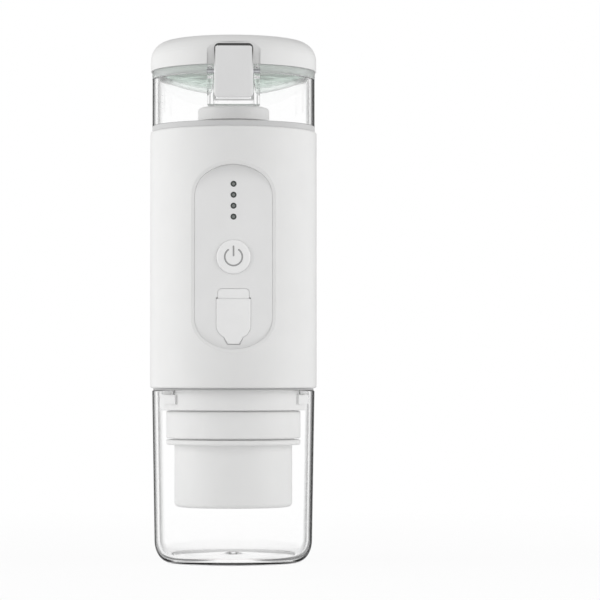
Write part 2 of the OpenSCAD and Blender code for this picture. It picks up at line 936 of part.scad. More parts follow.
module cell_strips() {
    link = 2 * cell_ring_r * sin(cell_step / 2);
    color(steel)
        for (z = [z_cells - strip_t, z_cells + cell_len])
            translate([0, 0, z]) {
                at_cells()
                    cylinder(d = strip_pad_d, h = strip_t);
                for (s = [-1, 1])
                    rotate([0, 0, 90 + s * cell_step / 2])
                        translate([cell_ring_r * cos(cell_step / 2) - strip_w / 2, -link / 2, 0])
                            cube([strip_w, link, strip_t]);
            }
}

module pump_motor() {
    color(steel)
        translate([0, motor_y, 0]) {
            tube(motor_d / 2, shaft_d / 2 + pin_gap, z_motor, z_motor_top);
            for (s = [-1, 1])
                translate([s * lead_x - tag[0] / 2, -tag[1] / 2, z_motor_top - eps])
                    cube(tag);
        }
}

module motor_leads() {
    color(dark)
        for (s = [-1, 1])
            y_bar(lead_r, s * lead_x, board_y + board_t, motor_y - tag[1] / 2, z_lead);
}

module motor_rotor() {
    color(steel)
        translate([0, motor_y, 0]) {
            translate([0, 0, z_cam])
                cylinder(d = shaft_d, h = z_motor_top + shaft_end - z_cam);
            translate([0, cam_offset, z_cam])
                cylinder(d = cam_d, h = cam_h);
        }
}

module pump_head() {
    turn = atan2(hose_y - motor_y, hose_x);
    reach = sqrt(pow(hose_x, 2) + pow(hose_y - motor_y, 2));
    arm_w = 6;
    color(dark)
        difference() {
            union() {
                translate([0, motor_y, z_pump])
                    cylinder(d = pump_d, h = pump_h);
                translate([0, motor_y, z_outlet])
                    rotate([0, 0, turn])
                        translate([0, -arm_w / 2, 0])
                            cube([reach, arm_w, port_boss_h]);
                translate([0, motor_y, z_inlet - port_boss_h])
                    rotate([0, 0, 180 - turn])
                        translate([0, -arm_w / 2, 0])
                            cube([reach, arm_w, port_boss_h]);
                translate([hose_x, hose_y, z_outlet])
                    cylinder(r = port_boss_r, h = port_boss_h);
                translate([hose_x, hose_y, z_outlet - nipple_len])
                    cylinder(r = nipple_r, h = nipple_len + eps);
                translate([-hose_x, hose_y, z_inlet - port_boss_h])
                    cylinder(r = port_boss_r, h = port_boss_h);
                translate([-hose_x, hose_y, z_inlet - eps])
                    cylinder(r = nipple_r, h = nipple_len + eps);
            }
            translate([0, motor_y, z_cam - move_gap])
                cylinder(r = chamber_r, h = z_motor);
            y_bar(plunger_r + pin_gap, 0, motor_y, motor_y + pump_d, z_cam + cam_h / 2);
        }
}

module pump_plunger() {
    color(steel)
        y_bar(plunger_r, 0, motor_y + cam_d / 2 + cam_offset + move_gap, motor_y + pump_d / 2,
            z_cam + cam_h / 2);
}

module inlet_hose() {
    color(soft)
        translate([-hose_x, hose_y, 0])
            tube(hose_r, hose_bore / 2, z_inlet, z_deck_low);
}

module pressure_hose() {
    color(soft)
        translate([hose_x, hose_y, 0])
            tube(hose_r, hose_bore / 2, z_heater_top, z_outlet);
}

module heater_block() {
    color(grey) {
        translate([0, 0, z_flange_top])
            cylinder(d = heater_d, h = heater_h);
        translate([0, 0, z_shower + shower_t])
            cylinder(r = nozzle_r, h = z_flange_top - z_shower - shower_t + eps);
        translate([hose_x, hose_y, z_heater_top - eps])
            cylinder(r = nipple_r, h = nipple_len / 2 + eps);
    }
}

module top_deck() {
    turn = atan2(hose_y, -hose_x);
    well_r = 3;
    well_floor = 1;
    way_r = 1;
    color(white)
        difference() {
            union() {
                translate([0, 0, z_deck_low])
                    cylinder(r = inner_r, h = deck_t);
                translate([0, 0, z_deck_low])
                    cylinder(r = spigot_r, h = z_cap + spigot_over - z_deck_low);
                translate([-hose_x, hose_y, z_deck_low - nipple_len])
                    cylinder(r = nipple_r, h = nipple_len + eps);
                at_posts()
                    translate([0, 0, z_posts])
                        cylinder(d = post_d, h = z_deck_low - z_posts + eps);
            }
            translate([0, 0, z_deck_low + well_floor])
                cylinder(r = well_r, h = z_top);
            translate([0, 0, z_deck_low + well_floor + way_r])
                rotate([0, 0, turn])
                    rotate([0, 90, 0])
                        cylinder(r = way_r, h = sqrt(pow(hose_x, 2) + pow(hose_y, 2)));
            at_posts()
                translate([0, 0, z_posts - eps])
                    cylinder(r = screw_hole_r, h = screw_bite + 2 * eps);
        }
}

module tie_screws() {
    color(steel)
        at_posts() {
            translate([0, 0, z_collar])
                cylinder(r = screw_head_r, h = screw_head_h);
            translate([0, 0, z_collar + screw_head_h - eps])
                cylinder(d = screw_d, h = z_posts + screw_bite - z_collar - screw_head_h);
        }
}

module tank_gasket() {
    color(grey)
        tube(tank_r, spigot_r + fit_gap, z_deck, z_tank);
}

module inlet_cap() {
    e = cap_edge_r;
    z1 = z_cap + cap_h;
    room = 1.4;
    slot_w = 3;
    slot_h = 2;
    color(white)
        difference() {
            rotate_extrude()
                polygon(concat(
                    [[0, z_cap], [cap_r, z_cap]],
                    arc_pts([cap_r - e, z1 - e], e, 0, 90),
                    [[0, z1]]
                ));
            translate([0, 0, z_cap - eps])
                cylinder(r = spigot_r + touch_gap, h = spigot_over + room + eps);
            for (a = [40, 90, 140])
                rotate([0, 0, a])
                    translate([0, -slot_w / 2, z_cap + spigot_over + room - slot_h])
                        cube([cap_d, slot_w, slot_h]);
        }
}

module water_tank() {
    z_slope = z_cap + tank_slope;
    e = 0.6;
    color(clear)
        difference() {
            union() {
                rotate_extrude()
                    polygon(concat(
                        [[spigot_r + fit_gap, z_tank], [tank_r - e, z_tank], [tank_r, z_tank + e]],
                        arc_pts([tank_r - e, z_rim - e], e, 0, 90),
                        [[tank_ri + e / 2, z_rim], [tank_ri, z_rim - e / 2], [tank_ri, z_slope]],
                        [[cap_r + cap_ledge, z_cap], [spigot_r + fit_gap, z_cap]]
                    ));
                latch_guard();
                lid_ears();
            }
            x_bar(latch_pin_d / 2 + pin_gap / 2, 4 * guard_x, latch_pin_y, latch_pin_z);
            x_bar(lid_pin_d / 2 + pin_gap / 2, 4 * ear_x, hinge_y, hinge_z);
        }
}

// Two cheeks and a bar that frame the latch plate in front of the tank
module latch_guard() {
    eye_r = latch_eye_d / 2 + eye_gap - touch_gap;
    root = front_of(guard_root, guard_x + guard_t / 2);
    stand = latch_pin_y + eye_r;
    shoulder = z_rim - 1.2;
    for (x = [guard_x, -guard_x - guard_t])
        side_plate(x, guard_t)
            union() {
                polygon([
                    [guard_face, guard_bottom],
                    [root, guard_bottom],
                    [root, shoulder],
                    [stand, shoulder],
                    [stand, latch_pin_z],
                    [guard_face, latch_pin_z]
                ]);
                intersection() {
                    translate([latch_pin_y, latch_pin_z])
                        circle(r = eye_r);
                    translate([guard_face, latch_pin_z - eye_r])
                        square([2 * eye_r, 2 * eye_r]);
                }
            }
    front_plate(guard_face, -guard_root - guard_face)
        translate([0, (bar_top + guard_bottom) / 2])
            square([2 * guard_x + eps, guard_bar_h], center = true);
}

// Two ears behind the tank that carry the lid's pin
module lid_ears() {
    root = guard_root - eps;
    eye_r = knuckle_d / 2;
    low = z_rim - 10;
    shoulder = z_rim - 0.8;
    neck = 2;
    for (x = [ear_x, -ear_x - ear_w])
        side_plate(x, ear_w)
            union() {
                translate([hinge_y, hinge_z])
                    circle(r = eye_r);
                polygon([
                    [root, low],
                    [hinge_y + eye_r, hinge_z - neck],
                    [hinge_y + eye_r, hinge_z],
                    [hinge_y - eye_r, hinge_z],
                    [hinge_y - eye_r, shoulder],
                    [root, shoulder]
                ]);
            }
}

module latch_pin() {
    color(steel)
        x_bar(latch_pin_d / 2, 2 * (guard_x + guard_t), latch_pin_y, latch_pin_z);
}

module lid_pin() {
    color(steel)
        x_bar(lid_pin_d / 2, 2 * (ear_x + ear_w), hinge_y, hinge_z);
}

module latch_plate() {
    e = latch_edge;
    h = latch_up + latch_down;
    middle = latch_pin_z + (latch_up - latch_down) / 2;
    color(grey)
        difference() {
            union() {
                front_plate(latch_face + e, latch_t - e)
                    translate([0, middle])
                        round_rect(latch_w, h, latch_corner_r);
                hull() {
                    front_plate(latch_face + e, touch_gap)
                        translate([0, middle])
                            round_rect(latch_w, h, latch_corner_r, $fn = 32);
                    front_plate(latch_face, touch_gap)
                        translate([0, middle])
                            round_rect(latch_w - 2 * e, h - 2 * e, latch_corner_r - e, $fn = 32);
                }
                x_bar(latch_eye_d / 2, latch_w, latch_pin_y, latch_pin_z);
                translate([-hook_w / 2, latch_back - eps, hook_top - hook_h])
                    cube([hook_w, hook_tip - latch_back + eps, hook_h]);
            }
            x_bar(latch_pin_d / 2 + pin_gap, 2 * latch_w, latch_pin_y, latch_pin_z);
        }
}

module latch_spring() {
    t = 0.3;
    w = 5;
    wall = -tank_r - touch_gap;
    tip = latch_back + touch_gap;
    low = latch_pin_z - latch_down + 4 * t;
    high = latch_pin_z - latch_eye_d;
    tip_z = high - 3 * t;
    color(steel)
        side_plate(-w / 2, w)
            polygon([
                [wall, low],
                [wall, high],
                [wall - t, high],
                [wall - t, low + 2 * t],
                [tip + t, tip_z],
                [tip, tip_z],
                [wall - 2 * t, low]
            ]);
}

module lid_shell() {
    block_x = recess_x + recess_wall;
    slot_over = 1.6;
    color(white)
        difference() {
            union() {
                difference() {
                    rotate_extrude()
                        polygon(dome_pts(lid_r, z_lid, z_top, lid_corner_r, lid_crown_r));
                    difference() {
                        rotate_extrude()
                            polygon(dome_pts(lid_r - lid_wall, z_lid - eps, z_top - lid_wall,
                                lid_corner_r - lid_wall, lid_crown_r - lid_wall));
                        translate([-block_x, -body_d, z_lid - 2 * eps])
                            cube([2 * block_x, body_d + recess_y + recess_wall, lid_h]);
                    }
                }
                side_plate(-knuckle_w / 2, knuckle_w)
                    union() {
                        translate([hinge_y, hinge_z])
                            circle(d = knuckle_d);
                        polygon([
                            [lid_r - lid_wall + eps, z_lid],
                            [hinge_y, z_lid],
                            [hinge_y, hinge_z + knuckle_d / 2],
                            [lid_r - lid_wall + eps, z_lid + strap_rise]
                        ]);
                    }
            }
            x_bar(lid_pin_d / 2 + pin_gap, 2 * knuckle_w, hinge_y, hinge_z);
            front_plate(-body_d, body_d + recess_y) {
                translate([-recess_x, z_lid - eps])
                    square([2 * recess_x, recess_top - recess_corner_r - z_lid + eps]);
                translate([-recess_x + recess_corner_r, z_lid])
                    square([2 * (recess_x - recess_corner_r), recess_top - z_lid]);
                for (s = [-1, 1])
                    translate([s * (recess_x - recess_corner_r), recess_top - recess_corner_r])
                        circle(r = recess_corner_r);
            }
            translate([-hook_w / 2 - move_gap, recess_y - eps, hook_top - hook_h - move_gap])
                cube([hook_w + 2 * move_gap, recess_wall + 2 * eps, hook_h + slot_over]);
        }
}

module lid_liner() {
    r = liner_r;
    low = z_rim - bowl_depth;
    rim = z_lid + bowl_wall;
    ball = (pow(r, 2) + pow(bowl_depth, 2)) / (2 * bowl_depth);
    turn = asin(r / ball);
    inner = ball - bowl_wall;
    turn_in = asin((r - bowl_wall) / inner);
    flange = lid_r - lid_wall - 2 * touch_gap;
    color(clear)
        difference() {
            rotate_extrude()
                polygon(concat(
                    arc_pts([0, low + ball], ball, -90, turn - 90),
                    [[r, z_lid], [flange, z_lid], [flange, rim], [r - bowl_wall, rim]],
                    arc_pts([0, low + ball], inner, turn_in - 90, -90)
                ));
            translate([-recess_x - recess_wall - move_gap, -body_d, z_lid - touch_gap])
                cube([2 * (recess_x + recess_wall + move_gap), body_d + recess_y + recess_wall + move_gap,
                    lid_h]);
        }
}

// The seal is flat behind the latch, so that the pressed hook passes it
module lid_seal() {
    color(soft)
        difference() {
            tube(seal_r, liner_r + pin_gap, z_rim + touch_gap, z_lid);
            translate([-recess_x, -body_d, z_rim])
                cube([2 * recess_x, body_d + recess_y, lid_h]);
        }
}

module brew_collar() {
    e = 0.6;
    z_roof = z_flange_top - spigot_roof;
    color(white)
        difference() {
            union() {
                rotate_extrude()
                    polygon(concat(
                        [[nozzle_r + fit_gap, z_roof], [shower_pocket_r, z_roof]],
                        [[shower_pocket_r, z_spigot], [spigot_out_r, z_spigot]],
                        [[spigot_out_r, z_collar]],
                        arc_pts([collar_r - e, z_collar + e], e, -90, 0),
                        [[collar_r, z_body], [inner_r, z_body], [inner_r, z_flange_top]],
                        [[nozzle_r + fit_gap, z_flange_top]]
                    ));
                for (i = [0:lug_count - 1])
                    sector(collar_r - eps, collar_r + lug_out, lug_z, lug_z + lug_h,
                        270 - lug_start + i * 360 / lug_count, lug_angle);
            }
            at_posts() {
                cylinder(r = screw_hole_r, h = z_top);
                translate([0, 0, z_collar - eps])
                    cylinder(r = screw_head_r + touch_gap, h = screw_head_h + eps);
            }
        }
}

module shower_plate() {
    needle_r = 1;
    needle_tip_r = 0.2;
    color(steel) {
        difference() {
            translate([0, 0, z_shower])
                cylinder(r = shower_r, h = shower_t);
            rotate([0, 0, 30])
                at_holes(shower_r - hole_rim)
                    translate([0, 0, z_shower - eps])
                        cylinder(d = hole_d, h = shower_t + 2 * eps);
        }
        for (a = [90, 210, 330])
            rotate([0, 0, a])
                translate([shower_r / 3, 0, z_shower - needle_len])
                    cylinder(r1 = needle_tip_r, r2 = needle_r, h = needle_len + touch_gap);
    }
}

module holder_seal() {
    color(soft)
        tube(neck_r - touch_gap, shower_pocket_r, z_neck, z_seal);
}

module holder_ring() {
    e = 0.5;
    color(white)
        rotate_extrude()
            polygon([
                [ring_ri, z_ring],
                [ring_r - e, z_ring],
                [ring_r, z_ring + e],
                [ring_r, z_ring_top - e],
                [ring_r - e, z_ring_top],
                [ring_ri, z_ring_top]
            ]);
}

module holder_shell() {
    e = holder_edge_r;
    c = 0.5;
    floor_z = z_holder + holder_wall;
    rim_z = z_neck - basket_wall;
    color(white)
        rotate_extrude()
            polygon(concat(
                [[spout_d / 2, z_holder]],
                arc_pts([holder_r - e, z_holder + e], e, -90, 0),
                [[holder_r, z_holder_top], [ring_r - c, z_holder_top]],
                [[ring_r, z_holder_top + c], [ring_r, z_flange - c], [ring_r - c, z_flange]],
                [[neck_r, z_flange], [neck_r, z_neck], [basket_rim_r + touch_gap, z_neck]],
                [[basket_rim_r + touch_gap, rim_z], [holder_ri, rim_z]],
                [[holder_ri, floor_z], [spout_d / 2, floor_z]]
            ));
}

module filter_basket() {
    rim_z = z_neck - basket_wall;
    foot = 1;
    low = z_holder + holder_wall + foot;
    color(steel)
        difference() {
            rotate_extrude()
                polygon([
                    [0, low],
                    [basket_r, low],
                    [basket_r, rim_z],
                    [basket_rim_r, rim_z],
                    [basket_rim_r, z_neck],
                    [basket_r - basket_wall, z_neck],
                    [basket_r - basket_wall, low + basket_wall],
                    [0, low + basket_wall]
                ]);
            at_holes(basket_r - hole_rim)
                translate([0, 0, low - eps])
                    cylinder(d = hole_d, h = basket_wall + 2 * eps);
        }
}

module cup_seal() {
    color(soft)
        tube(cup_rim_r - eps, cup_rim_r - cup_wall - 2 * touch_gap, cup_h, cup_h + cup_seal_t);
}

module cup() {
    e = 0.6;
    r = cup_corner_r;
    ri = r - cup_wall;
    mid = cup_low_r - r;
    gate_r = gate_d / 2;
    gate_ball = (pow(gate_r, 2) + pow(gate_h, 2)) / (2 * gate_h);
    lug_spare = 2;
    color(clear) {
        rotate_extrude()
            polygon(concat(
                [[0, foot_hollow], [foot_hollow_d / 2 - foot_hollow, foot_hollow], [foot_hollow_d / 2, 0]],
                arc_pts([mid, r], r, -90, 0),
                arc_pts([cup_rim_r - e, cup_h - e], e, 0, 90),
                [[cup_rim_r - cup_wall, cup_h]],
                arc_pts([mid, cup_floor + ri], ri, 0, -90),
                arc_pts([0, cup_floor + gate_h - gate_ball], gate_ball, 90 - asin(gate_r / gate_ball), 90)
            ));
        for (i = [0:lug_count - 1])
            sector(cup_lug_r, cup_rim_r - cup_wall / 2, cup_h - cup_lug_h, cup_h,
                270 - lug_start + i * 360 / lug_count, lug_angle - lug_spare);
    }
}

body_shell();
control_panel();
light_pipes();
status_leds();
power_button();
power_switch();
charge_socket();
port_flap();
flap_anchor();
control_board();
board_screws();
inner_frame();
battery_cells();
cell_strips();
pump_motor();
motor_leads();
motor_rotor();
pump_head();
pump_plunger();
inlet_hose();
pressure_hose();
heater_block();
top_deck();
tie_screws();
tank_gasket();
inlet_cap();
water_tank();
latch_pin();
lid_pin();
latch_plate();
latch_spring();
lid_shell();
lid_liner();
lid_seal();
brew_collar();
shower_plate();
holder_seal();
holder_ring();
holder_shell();
filter_basket();
cup_seal();
cup();
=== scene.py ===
"""Looks of a portable espresso maker: finishes, fine pieces, soft studio light and the camera."""

import json
import math

import bmesh
import bpy
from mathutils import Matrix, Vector


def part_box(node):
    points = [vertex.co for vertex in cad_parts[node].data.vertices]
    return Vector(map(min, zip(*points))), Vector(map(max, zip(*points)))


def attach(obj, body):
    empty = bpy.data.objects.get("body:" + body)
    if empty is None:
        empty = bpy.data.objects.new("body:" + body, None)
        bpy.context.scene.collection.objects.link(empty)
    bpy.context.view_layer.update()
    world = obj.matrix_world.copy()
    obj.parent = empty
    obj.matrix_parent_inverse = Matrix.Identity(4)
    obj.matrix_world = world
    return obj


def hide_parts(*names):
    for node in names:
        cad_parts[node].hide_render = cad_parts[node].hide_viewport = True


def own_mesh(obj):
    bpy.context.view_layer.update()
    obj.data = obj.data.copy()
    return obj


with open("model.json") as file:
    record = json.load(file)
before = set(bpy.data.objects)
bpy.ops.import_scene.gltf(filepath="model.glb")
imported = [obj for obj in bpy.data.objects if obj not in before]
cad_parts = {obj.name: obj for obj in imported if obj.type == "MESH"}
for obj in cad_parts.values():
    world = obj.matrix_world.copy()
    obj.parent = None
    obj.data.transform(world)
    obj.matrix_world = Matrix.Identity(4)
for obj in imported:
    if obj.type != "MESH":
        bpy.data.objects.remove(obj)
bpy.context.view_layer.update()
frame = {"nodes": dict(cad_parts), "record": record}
cad = frame["nodes"]
MM = 0.001

# Camera, as fitted to the photograph's square frame
EYE = Vector((0, -1200, 75.5)) * MM
TURN_RIGHT = math.radians(1.336)
TURN_UP = math.radians(1.65)
LENS = 171.2
SENSOR = 36
CLIP_NEAR = 0.05
CLIP_FAR = 20

# Light, in metres and watts; a card runs between two sines of its angle off the middle
AMBIENT = 0.52
CEILING_TONE = 0.4
CEILING_RISE = (0.16, 0.34)
CARD_DARK = 0.9
CARD_BLUR = 0.05
LEFT_CARD = (0.2, 0.4)
RIGHT_CARD = (0.2, 0.5)
FLOOR_R = 0.5
FLOOR_FADE = (0.075, 0.475)
FLOOR_CLEAR = 0.92
FLOOR_TONE = (0.9, 0.9, 0.9)
FLOOR_STEPS = 64
LAMP_AIM = Vector((0, 0, 0.11))
LAMP_DISTANCE = 1.1
LAMP_HEIGHT = 0.3
LAMP_SIZE = (0.9, 1.4)
LEFT_LAMP = (math.radians(-77), 8.4)
RIGHT_LAMP = (math.radians(68), 6.9)

# Colours
WHITE = (0.83, 0.83, 0.825)
PANEL_WHITE = (0.875, 0.875, 0.873)
BUTTON_WHITE = (0.935, 0.935, 0.933)
LATCH_WHITE = (0.83, 0.83, 0.83)
# painted shade along the top of the latch plate's roll
LATCH_SHADE = (0.07, 0.07, 0.07)
MARK_GREY = (0.36, 0.36, 0.36)
LEVEL_GREY = (0.8, 0.8, 0.8)
GASKET_GREY = (0.64, 0.64, 0.64)
# the cup seal's grey is painted shade for the gap between the body and the cup
SEAL_GAP_SHADE = (0.45, 0.45, 0.45)
# the colour of dark plastic, and also the painted shade at the edges of clear walls
DARK = (0.03, 0.032, 0.032)
WINDOW = (0.05, 0.058, 0.054)
WINDOW_CORE = (0.2, 0.21, 0.205)
CLEAR = (1, 1, 1)
# edge colours of clear parts: painted shade where they are seen edge on
LUG_EDGE_SHADE = (0.6, 0.6, 0.6)
LINER = (0.88, 0.94, 0.905)
LINER_EDGE_SHADE = (0.1, 0.12, 0.11)
HOSE = (0.97, 0.99, 0.98)
HOSE_EDGE_SHADE = (0.5, 0.52, 0.51)
LID_SEAL = (0.93, 0.955, 0.94)
LID_SEAL_EDGE_SHADE = (0.6, 0.62, 0.61)
STEEL = (0.66, 0.67, 0.69)
CAST_METAL = (0.6, 0.61, 0.63)
BOARD = (0.03, 0.16, 0.07)
CELL = (0.04, 0.14, 0.4)

# Finishes: scales of textures in cells a metre, and tones as shares of a colour
GRAIN_STRENGTH = 0.5
BEVEL_SAMPLES = 4
PLASTIC_IOR = 1.46
PLASTIC_PATCHES = 70
PLASTIC_TONES = (0.985, 1.01)
PLASTIC_GLOSS = 0.05
PLASTIC_GRAIN = 4200
PLASTIC_RELIEF = 0.012 * MM
PLASTIC_EDGE = 0.3 * MM
CLEAR_IOR = 1.49
CLEAR_ROUGH = 0.02
FLOW_PATCHES = 45
FLOW_STRENGTH = 0.25
FLOW_RELIEF = 0.02 * MM
SILICONE_IOR = 1.41
SILICONE_PATCHES = 90
SILICONE_TONES = (0.97, 1.01)
SILICONE_GLOSS = (0.45, 0.6)
SILICONE_GRAIN = 3000
SILICONE_RELIEF = 0.01 * MM
SILICONE_EDGE = 0.2 * MM
METAL_LINES = 1500
METAL_DETAIL = 3
METAL_TONES = (0.9, 1.03)
METAL_GLOSS = (-0.08, 0.1)
METAL_RELIEF = 0.004 * MM
METAL_EDGE = 0.1 * MM

# How meshes are made, lengths in millimetres
WELD = 0.00001
NEAR = 0.01
LAP = 0.2
SHARP_EDGE = math.radians(35)
SMOOTH_EDGE = math.radians(40)
BEVEL_STEPS = 3
EDGE_STEPS = 4
CORNER_STEPS = 6
ROLL_STEPS = 8
SIDE_STEPS = 12
SEAT_GAP = 0.1

# Water tank, lengths in millimetres
TANK_WALL = 2.2
TANK_SEAT = 2.2
TANK_FLOOR = 0.8
TANK_LEDGE_R = 16.0
TANK_HOLE_R = 10.55
TANK_EDGE = 0.15
TANK_STEPS = 160
GUARD_T = 2.6
GUARD_GAP = 0.3
GUARD_BAR_GAP = 0.6
GUARD_BAR_H = 2.8
GUARD_EYE_R = 2.3
GUARD_EYE_STEPS = 8
GUARD_EDGE = 0.7
EAR_W = 3.4
EAR_EYE_R = 2.7
EAR_DROP = 10.0
EAR_SHOULDER = 0.8
EAR_EDGE = 0.35
EAR_STEPS = 10
PIN_PROUD = 0.15
MARK_LEVELS = (6.1, 8.6, 11.5)
MARK_TURN = math.radians(60)
MARK_ANGLE = math.radians(3.2)
MARK_H = 0.45
MARK_OFF = 0.02
MARK_PROUD = 0.06
MARK_STEPS = 4

# Latch plate and its spring, lengths in millimetres, turns in degrees, shade in shares
LATCH_T = 2.3
LATCH_CORNER = 2.0
LATCH_ROLL_W = 1.8
LATCH_ROLL_D = 0.7
LATCH_SHADE_DROP = (11.0, 3.0)
LATCH_EYE_R = 1.9
LATCH_EYE_TURN = 78
LATCH_EYE_STEPS = 12
SHADE_FACING = 0.1
SHADE_DEPTH = 0.35
SHADE_RISE = 0.25
HOOK_W = 10.0
HOOK_H = 2.0
HOOK_INSET = 0.8
HOOK_EDGE = 0.2
SPRING_T = 0.3
SPRING_BEND = 0.35
SPRING_TURN = 165
SPRING_STEPS = 10
SPRING_TIP_DROP = 0.9

# Cup, lengths in millimetres
CUP_WALL = 2.2
CUP_FLOOR = 2.6
CUP_LOW_R = 33.1
CUP_CORNER = 9.4
CUP_CORNER_W = 6.6
CUP_EDGE = 0.6
CUP_FOOT_R = 26.2
CUP_FOOT_HOLLOW = 1.6
CUP_FOOT_POWER = 6
CUP_GATE_R = 4.1
CUP_GATE_H = 1.0
CUP_STEPS = 192
CUP_CORNER_STEPS = 24
LUG_COUNT = 3
LUG_R = 31.1
LUG_H = 1.7
LUG_EASE = 0.2
LUG_START = math.radians(56)
LUG_ANGLE = math.radians(15)

# Button, flap and lights, lengths in millimetres, the sign's gap in degrees, its ends in half strokes
BUTTON_R = 7.0
BUTTON_ROLL_W = 1.1
BUTTON_ROLL_D = 0.55
BUTTON_HOLLOW_R = 6.4
BUTTON_HOLLOW = 0.3
BUTTON_FLANGE_T = 1.0
BUTTON_STEPS = 96
BUTTON_FACE_STEPS = 12
FLAP_T = 1.4
FLAP_GROW = 0.1
FLAP_EDGE = 0.6
FLAP_EDGE_STEPS = 6
FLAP_CORNER = 5.0
FLAP_CORNER_STEPS = 10
FLAP_TAB_LEN = 2.6
FLAP_TAB_W = 7.5
FLAP_TAB_END_W = 4.8
PLUG_W = 7.74
PLUG_H = 2.06
PLUG_CORNER = 0.824
PLUG_DROP = 8.2
WEB_R = 0.82
WEB_FRONT = 0.5
WEB_BACK = 0.5
WEB_LAP = 0.05
SYMBOL_R = 3.6
SYMBOL_STROKE = 0.66
SYMBOL_GAP = 36
SYMBOL_BAR = (0.5, 4.3)
SYMBOL_PROUD = 0.03
SYMBOL_STEPS = 40
SYMBOL_BAR_STEPS = 6
STROKE_END = ((0, 1), (0.7, 0.7), (1, 0.05))
LIGHT_COUNT = 4
LIGHT_R = 1.2
LIGHT_CORE_R = 0.6
LIGHT_RINGS = (LIGHT_R, 1.14, 0.9, LIGHT_CORE_R, 0.18)
LIGHT_RISE = 0.12
LIGHT_OFF = 0.02
LIGHT_STEPS = 24


def node(tree, kind, **values):
    """New shader node with some of its sockets set; underscores in a name stand for spaces."""
    made = tree.nodes.new("ShaderNode" + kind)
    for name, value in values.items():
        made.inputs[name.replace("_", " ")].default_value = value
    return made


def link(tree, source, output, target, socket):
    """Joins an output of one node to a socket of another."""
    tree.links.new(source.outputs[output], target.inputs[socket])


def math_node(tree, operation, *sources):
    """Math node of one or two values, each a number or a node and its output."""
    made = node(tree, "Math")
    made.operation = operation
    for i, source in enumerate(sources):
        if isinstance(source, tuple):
            link(tree, source[0], source[1], made, i)
        else:
            made.inputs[i].default_value = source
    return made


def rgba(colour, factor=1.0):
    """Colour made darker or paler by a factor, with its alpha."""
    return (colour[0] * factor, colour[1] * factor, colour[2] * factor, 1)


def bare_tree(owner):
    """Emptied node tree of a material or a world."""
    owner.use_nodes = True
    owner.node_tree.nodes.clear()
    return owner.node_tree


def new_material(name):
    """Material that holds one Principled shader, with its tree and that shader."""
    material = bpy.data.materials.new(name)
    tree = bare_tree(material)
    out = node(tree, "OutputMaterial")
    shader = node(tree, "BsdfPrincipled")
    link(tree, shader, "BSDF", out, "Surface")
    return material, tree, shader


def noise(tree, scale, detail=2.0, stretch=(1, 1, 1)):
    """Noise in object space, whose cells are about 1 / scale metres."""
    coordinates = node(tree, "TexCoord")
    mapping = node(tree, "Mapping", Scale=stretch)
    made = node(tree, "TexNoise", Scale=scale, Detail=detail)
    link(tree, coordinates, "Object", mapping, "Vector")
    link(tree, mapping, "Vector", made, "Vector")
    return made


def ramp(tree, source, output, low, high, at=(0.3, 0.7)):
    """Colour ramp between two colours over part of a value's range."""
    made = node(tree, "ValToRGB")
    for element, colour, position in zip(made.color_ramp.elements, (low, high), at):
        element.position = position
        element.color = colour
    link(tree, source, output, made, "Fac")
    return made


def spread(tree, source, output, low, high, at=(0.0, 1.0)):
    """Value of a range spread over another range."""
    made = node(tree, "MapRange", From_Min=at[0], From_Max=at[1], To_Min=low, To_Max=high)
    link(tree, source, output, made, "Value")
    return made


def mix_shaders(tree, factor, output, first, second):
    """Mix of two shaders by a node's output, where 0 is the first."""
    made = node(tree, "MixShader")
    link(tree, factor, output, made, "Fac")
    link(tree, first, 0, made, 1)
    link(tree, second, 0, made, 2)
    return made


def add_tone(tree, shader, texture, colour, tones, gloss):
    """Changes of tone and of gloss from a texture, each between two values."""
    tone = ramp(tree, texture, "Fac", rgba(colour, tones[0]), rgba(colour, tones[1]))
    rough = spread(tree, texture, "Fac", gloss[0], gloss[1])
    link(tree, tone, "Color", shader, "Base Color")
    link(tree, rough, "Result", shader, "Roughness")


def add_grain(tree, shader, texture, height, edge):
    """Relief from a texture, on top of edges that look rounded by a small radius."""
    bump = node(tree, "Bump", Strength=GRAIN_STRENGTH, Distance=height)
    link(tree, texture, "Fac", bump, "Height")
    if edge:
        bevel = node(tree, "Bevel", Radius=edge)
        bevel.samples = BEVEL_SAMPLES
        link(tree, bevel, "Normal", bump, "Normal")
    link(tree, bump, "Normal", shader, "Normal")


def moulded_plastic(name, colour, rough, edge=PLASTIC_EDGE):
    """Satin moulded plastic: fine spark grain, slow changes of tone and of gloss."""
    material, tree, shader = new_material(name)
    gloss = (rough - PLASTIC_GLOSS, rough + PLASTIC_GLOSS)
    add_tone(tree, shader, noise(tree, PLASTIC_PATCHES), colour, PLASTIC_TONES, gloss)
    shader.inputs["IOR"].default_value = PLASTIC_IOR
    add_grain(tree, shader, noise(tree, PLASTIC_GRAIN), PLASTIC_RELIEF, edge)
    return material


def fading_plastic(name, low_colour, high_colour, rough, part, drop):
    """Moulded plastic that goes from one colour to another over two levels below a node's top; the
    latch's painted shade uses it.
    """
    material, tree, shader = new_material(name)
    coordinates = node(tree, "TexCoord")
    place = node(tree, "SeparateXYZ")
    link(tree, coordinates, "Object", place, "Vector")
    top = corners(part)[1].z
    level = spread(tree, place, "Z", 0, 1, ((top - drop[0]) * MM, (top - drop[1]) * MM))
    tone = ramp(tree, level, "Result", rgba(low_colour), rgba(high_colour), (0, 1))
    link(tree, tone, "Color", shader, "Base Color")
    shader.inputs["Roughness"].default_value = rough
    shader.inputs["IOR"].default_value = PLASTIC_IOR
    add_grain(tree, shader, noise(tree, PLASTIC_GRAIN), PLASTIC_RELIEF, 0)
    return material


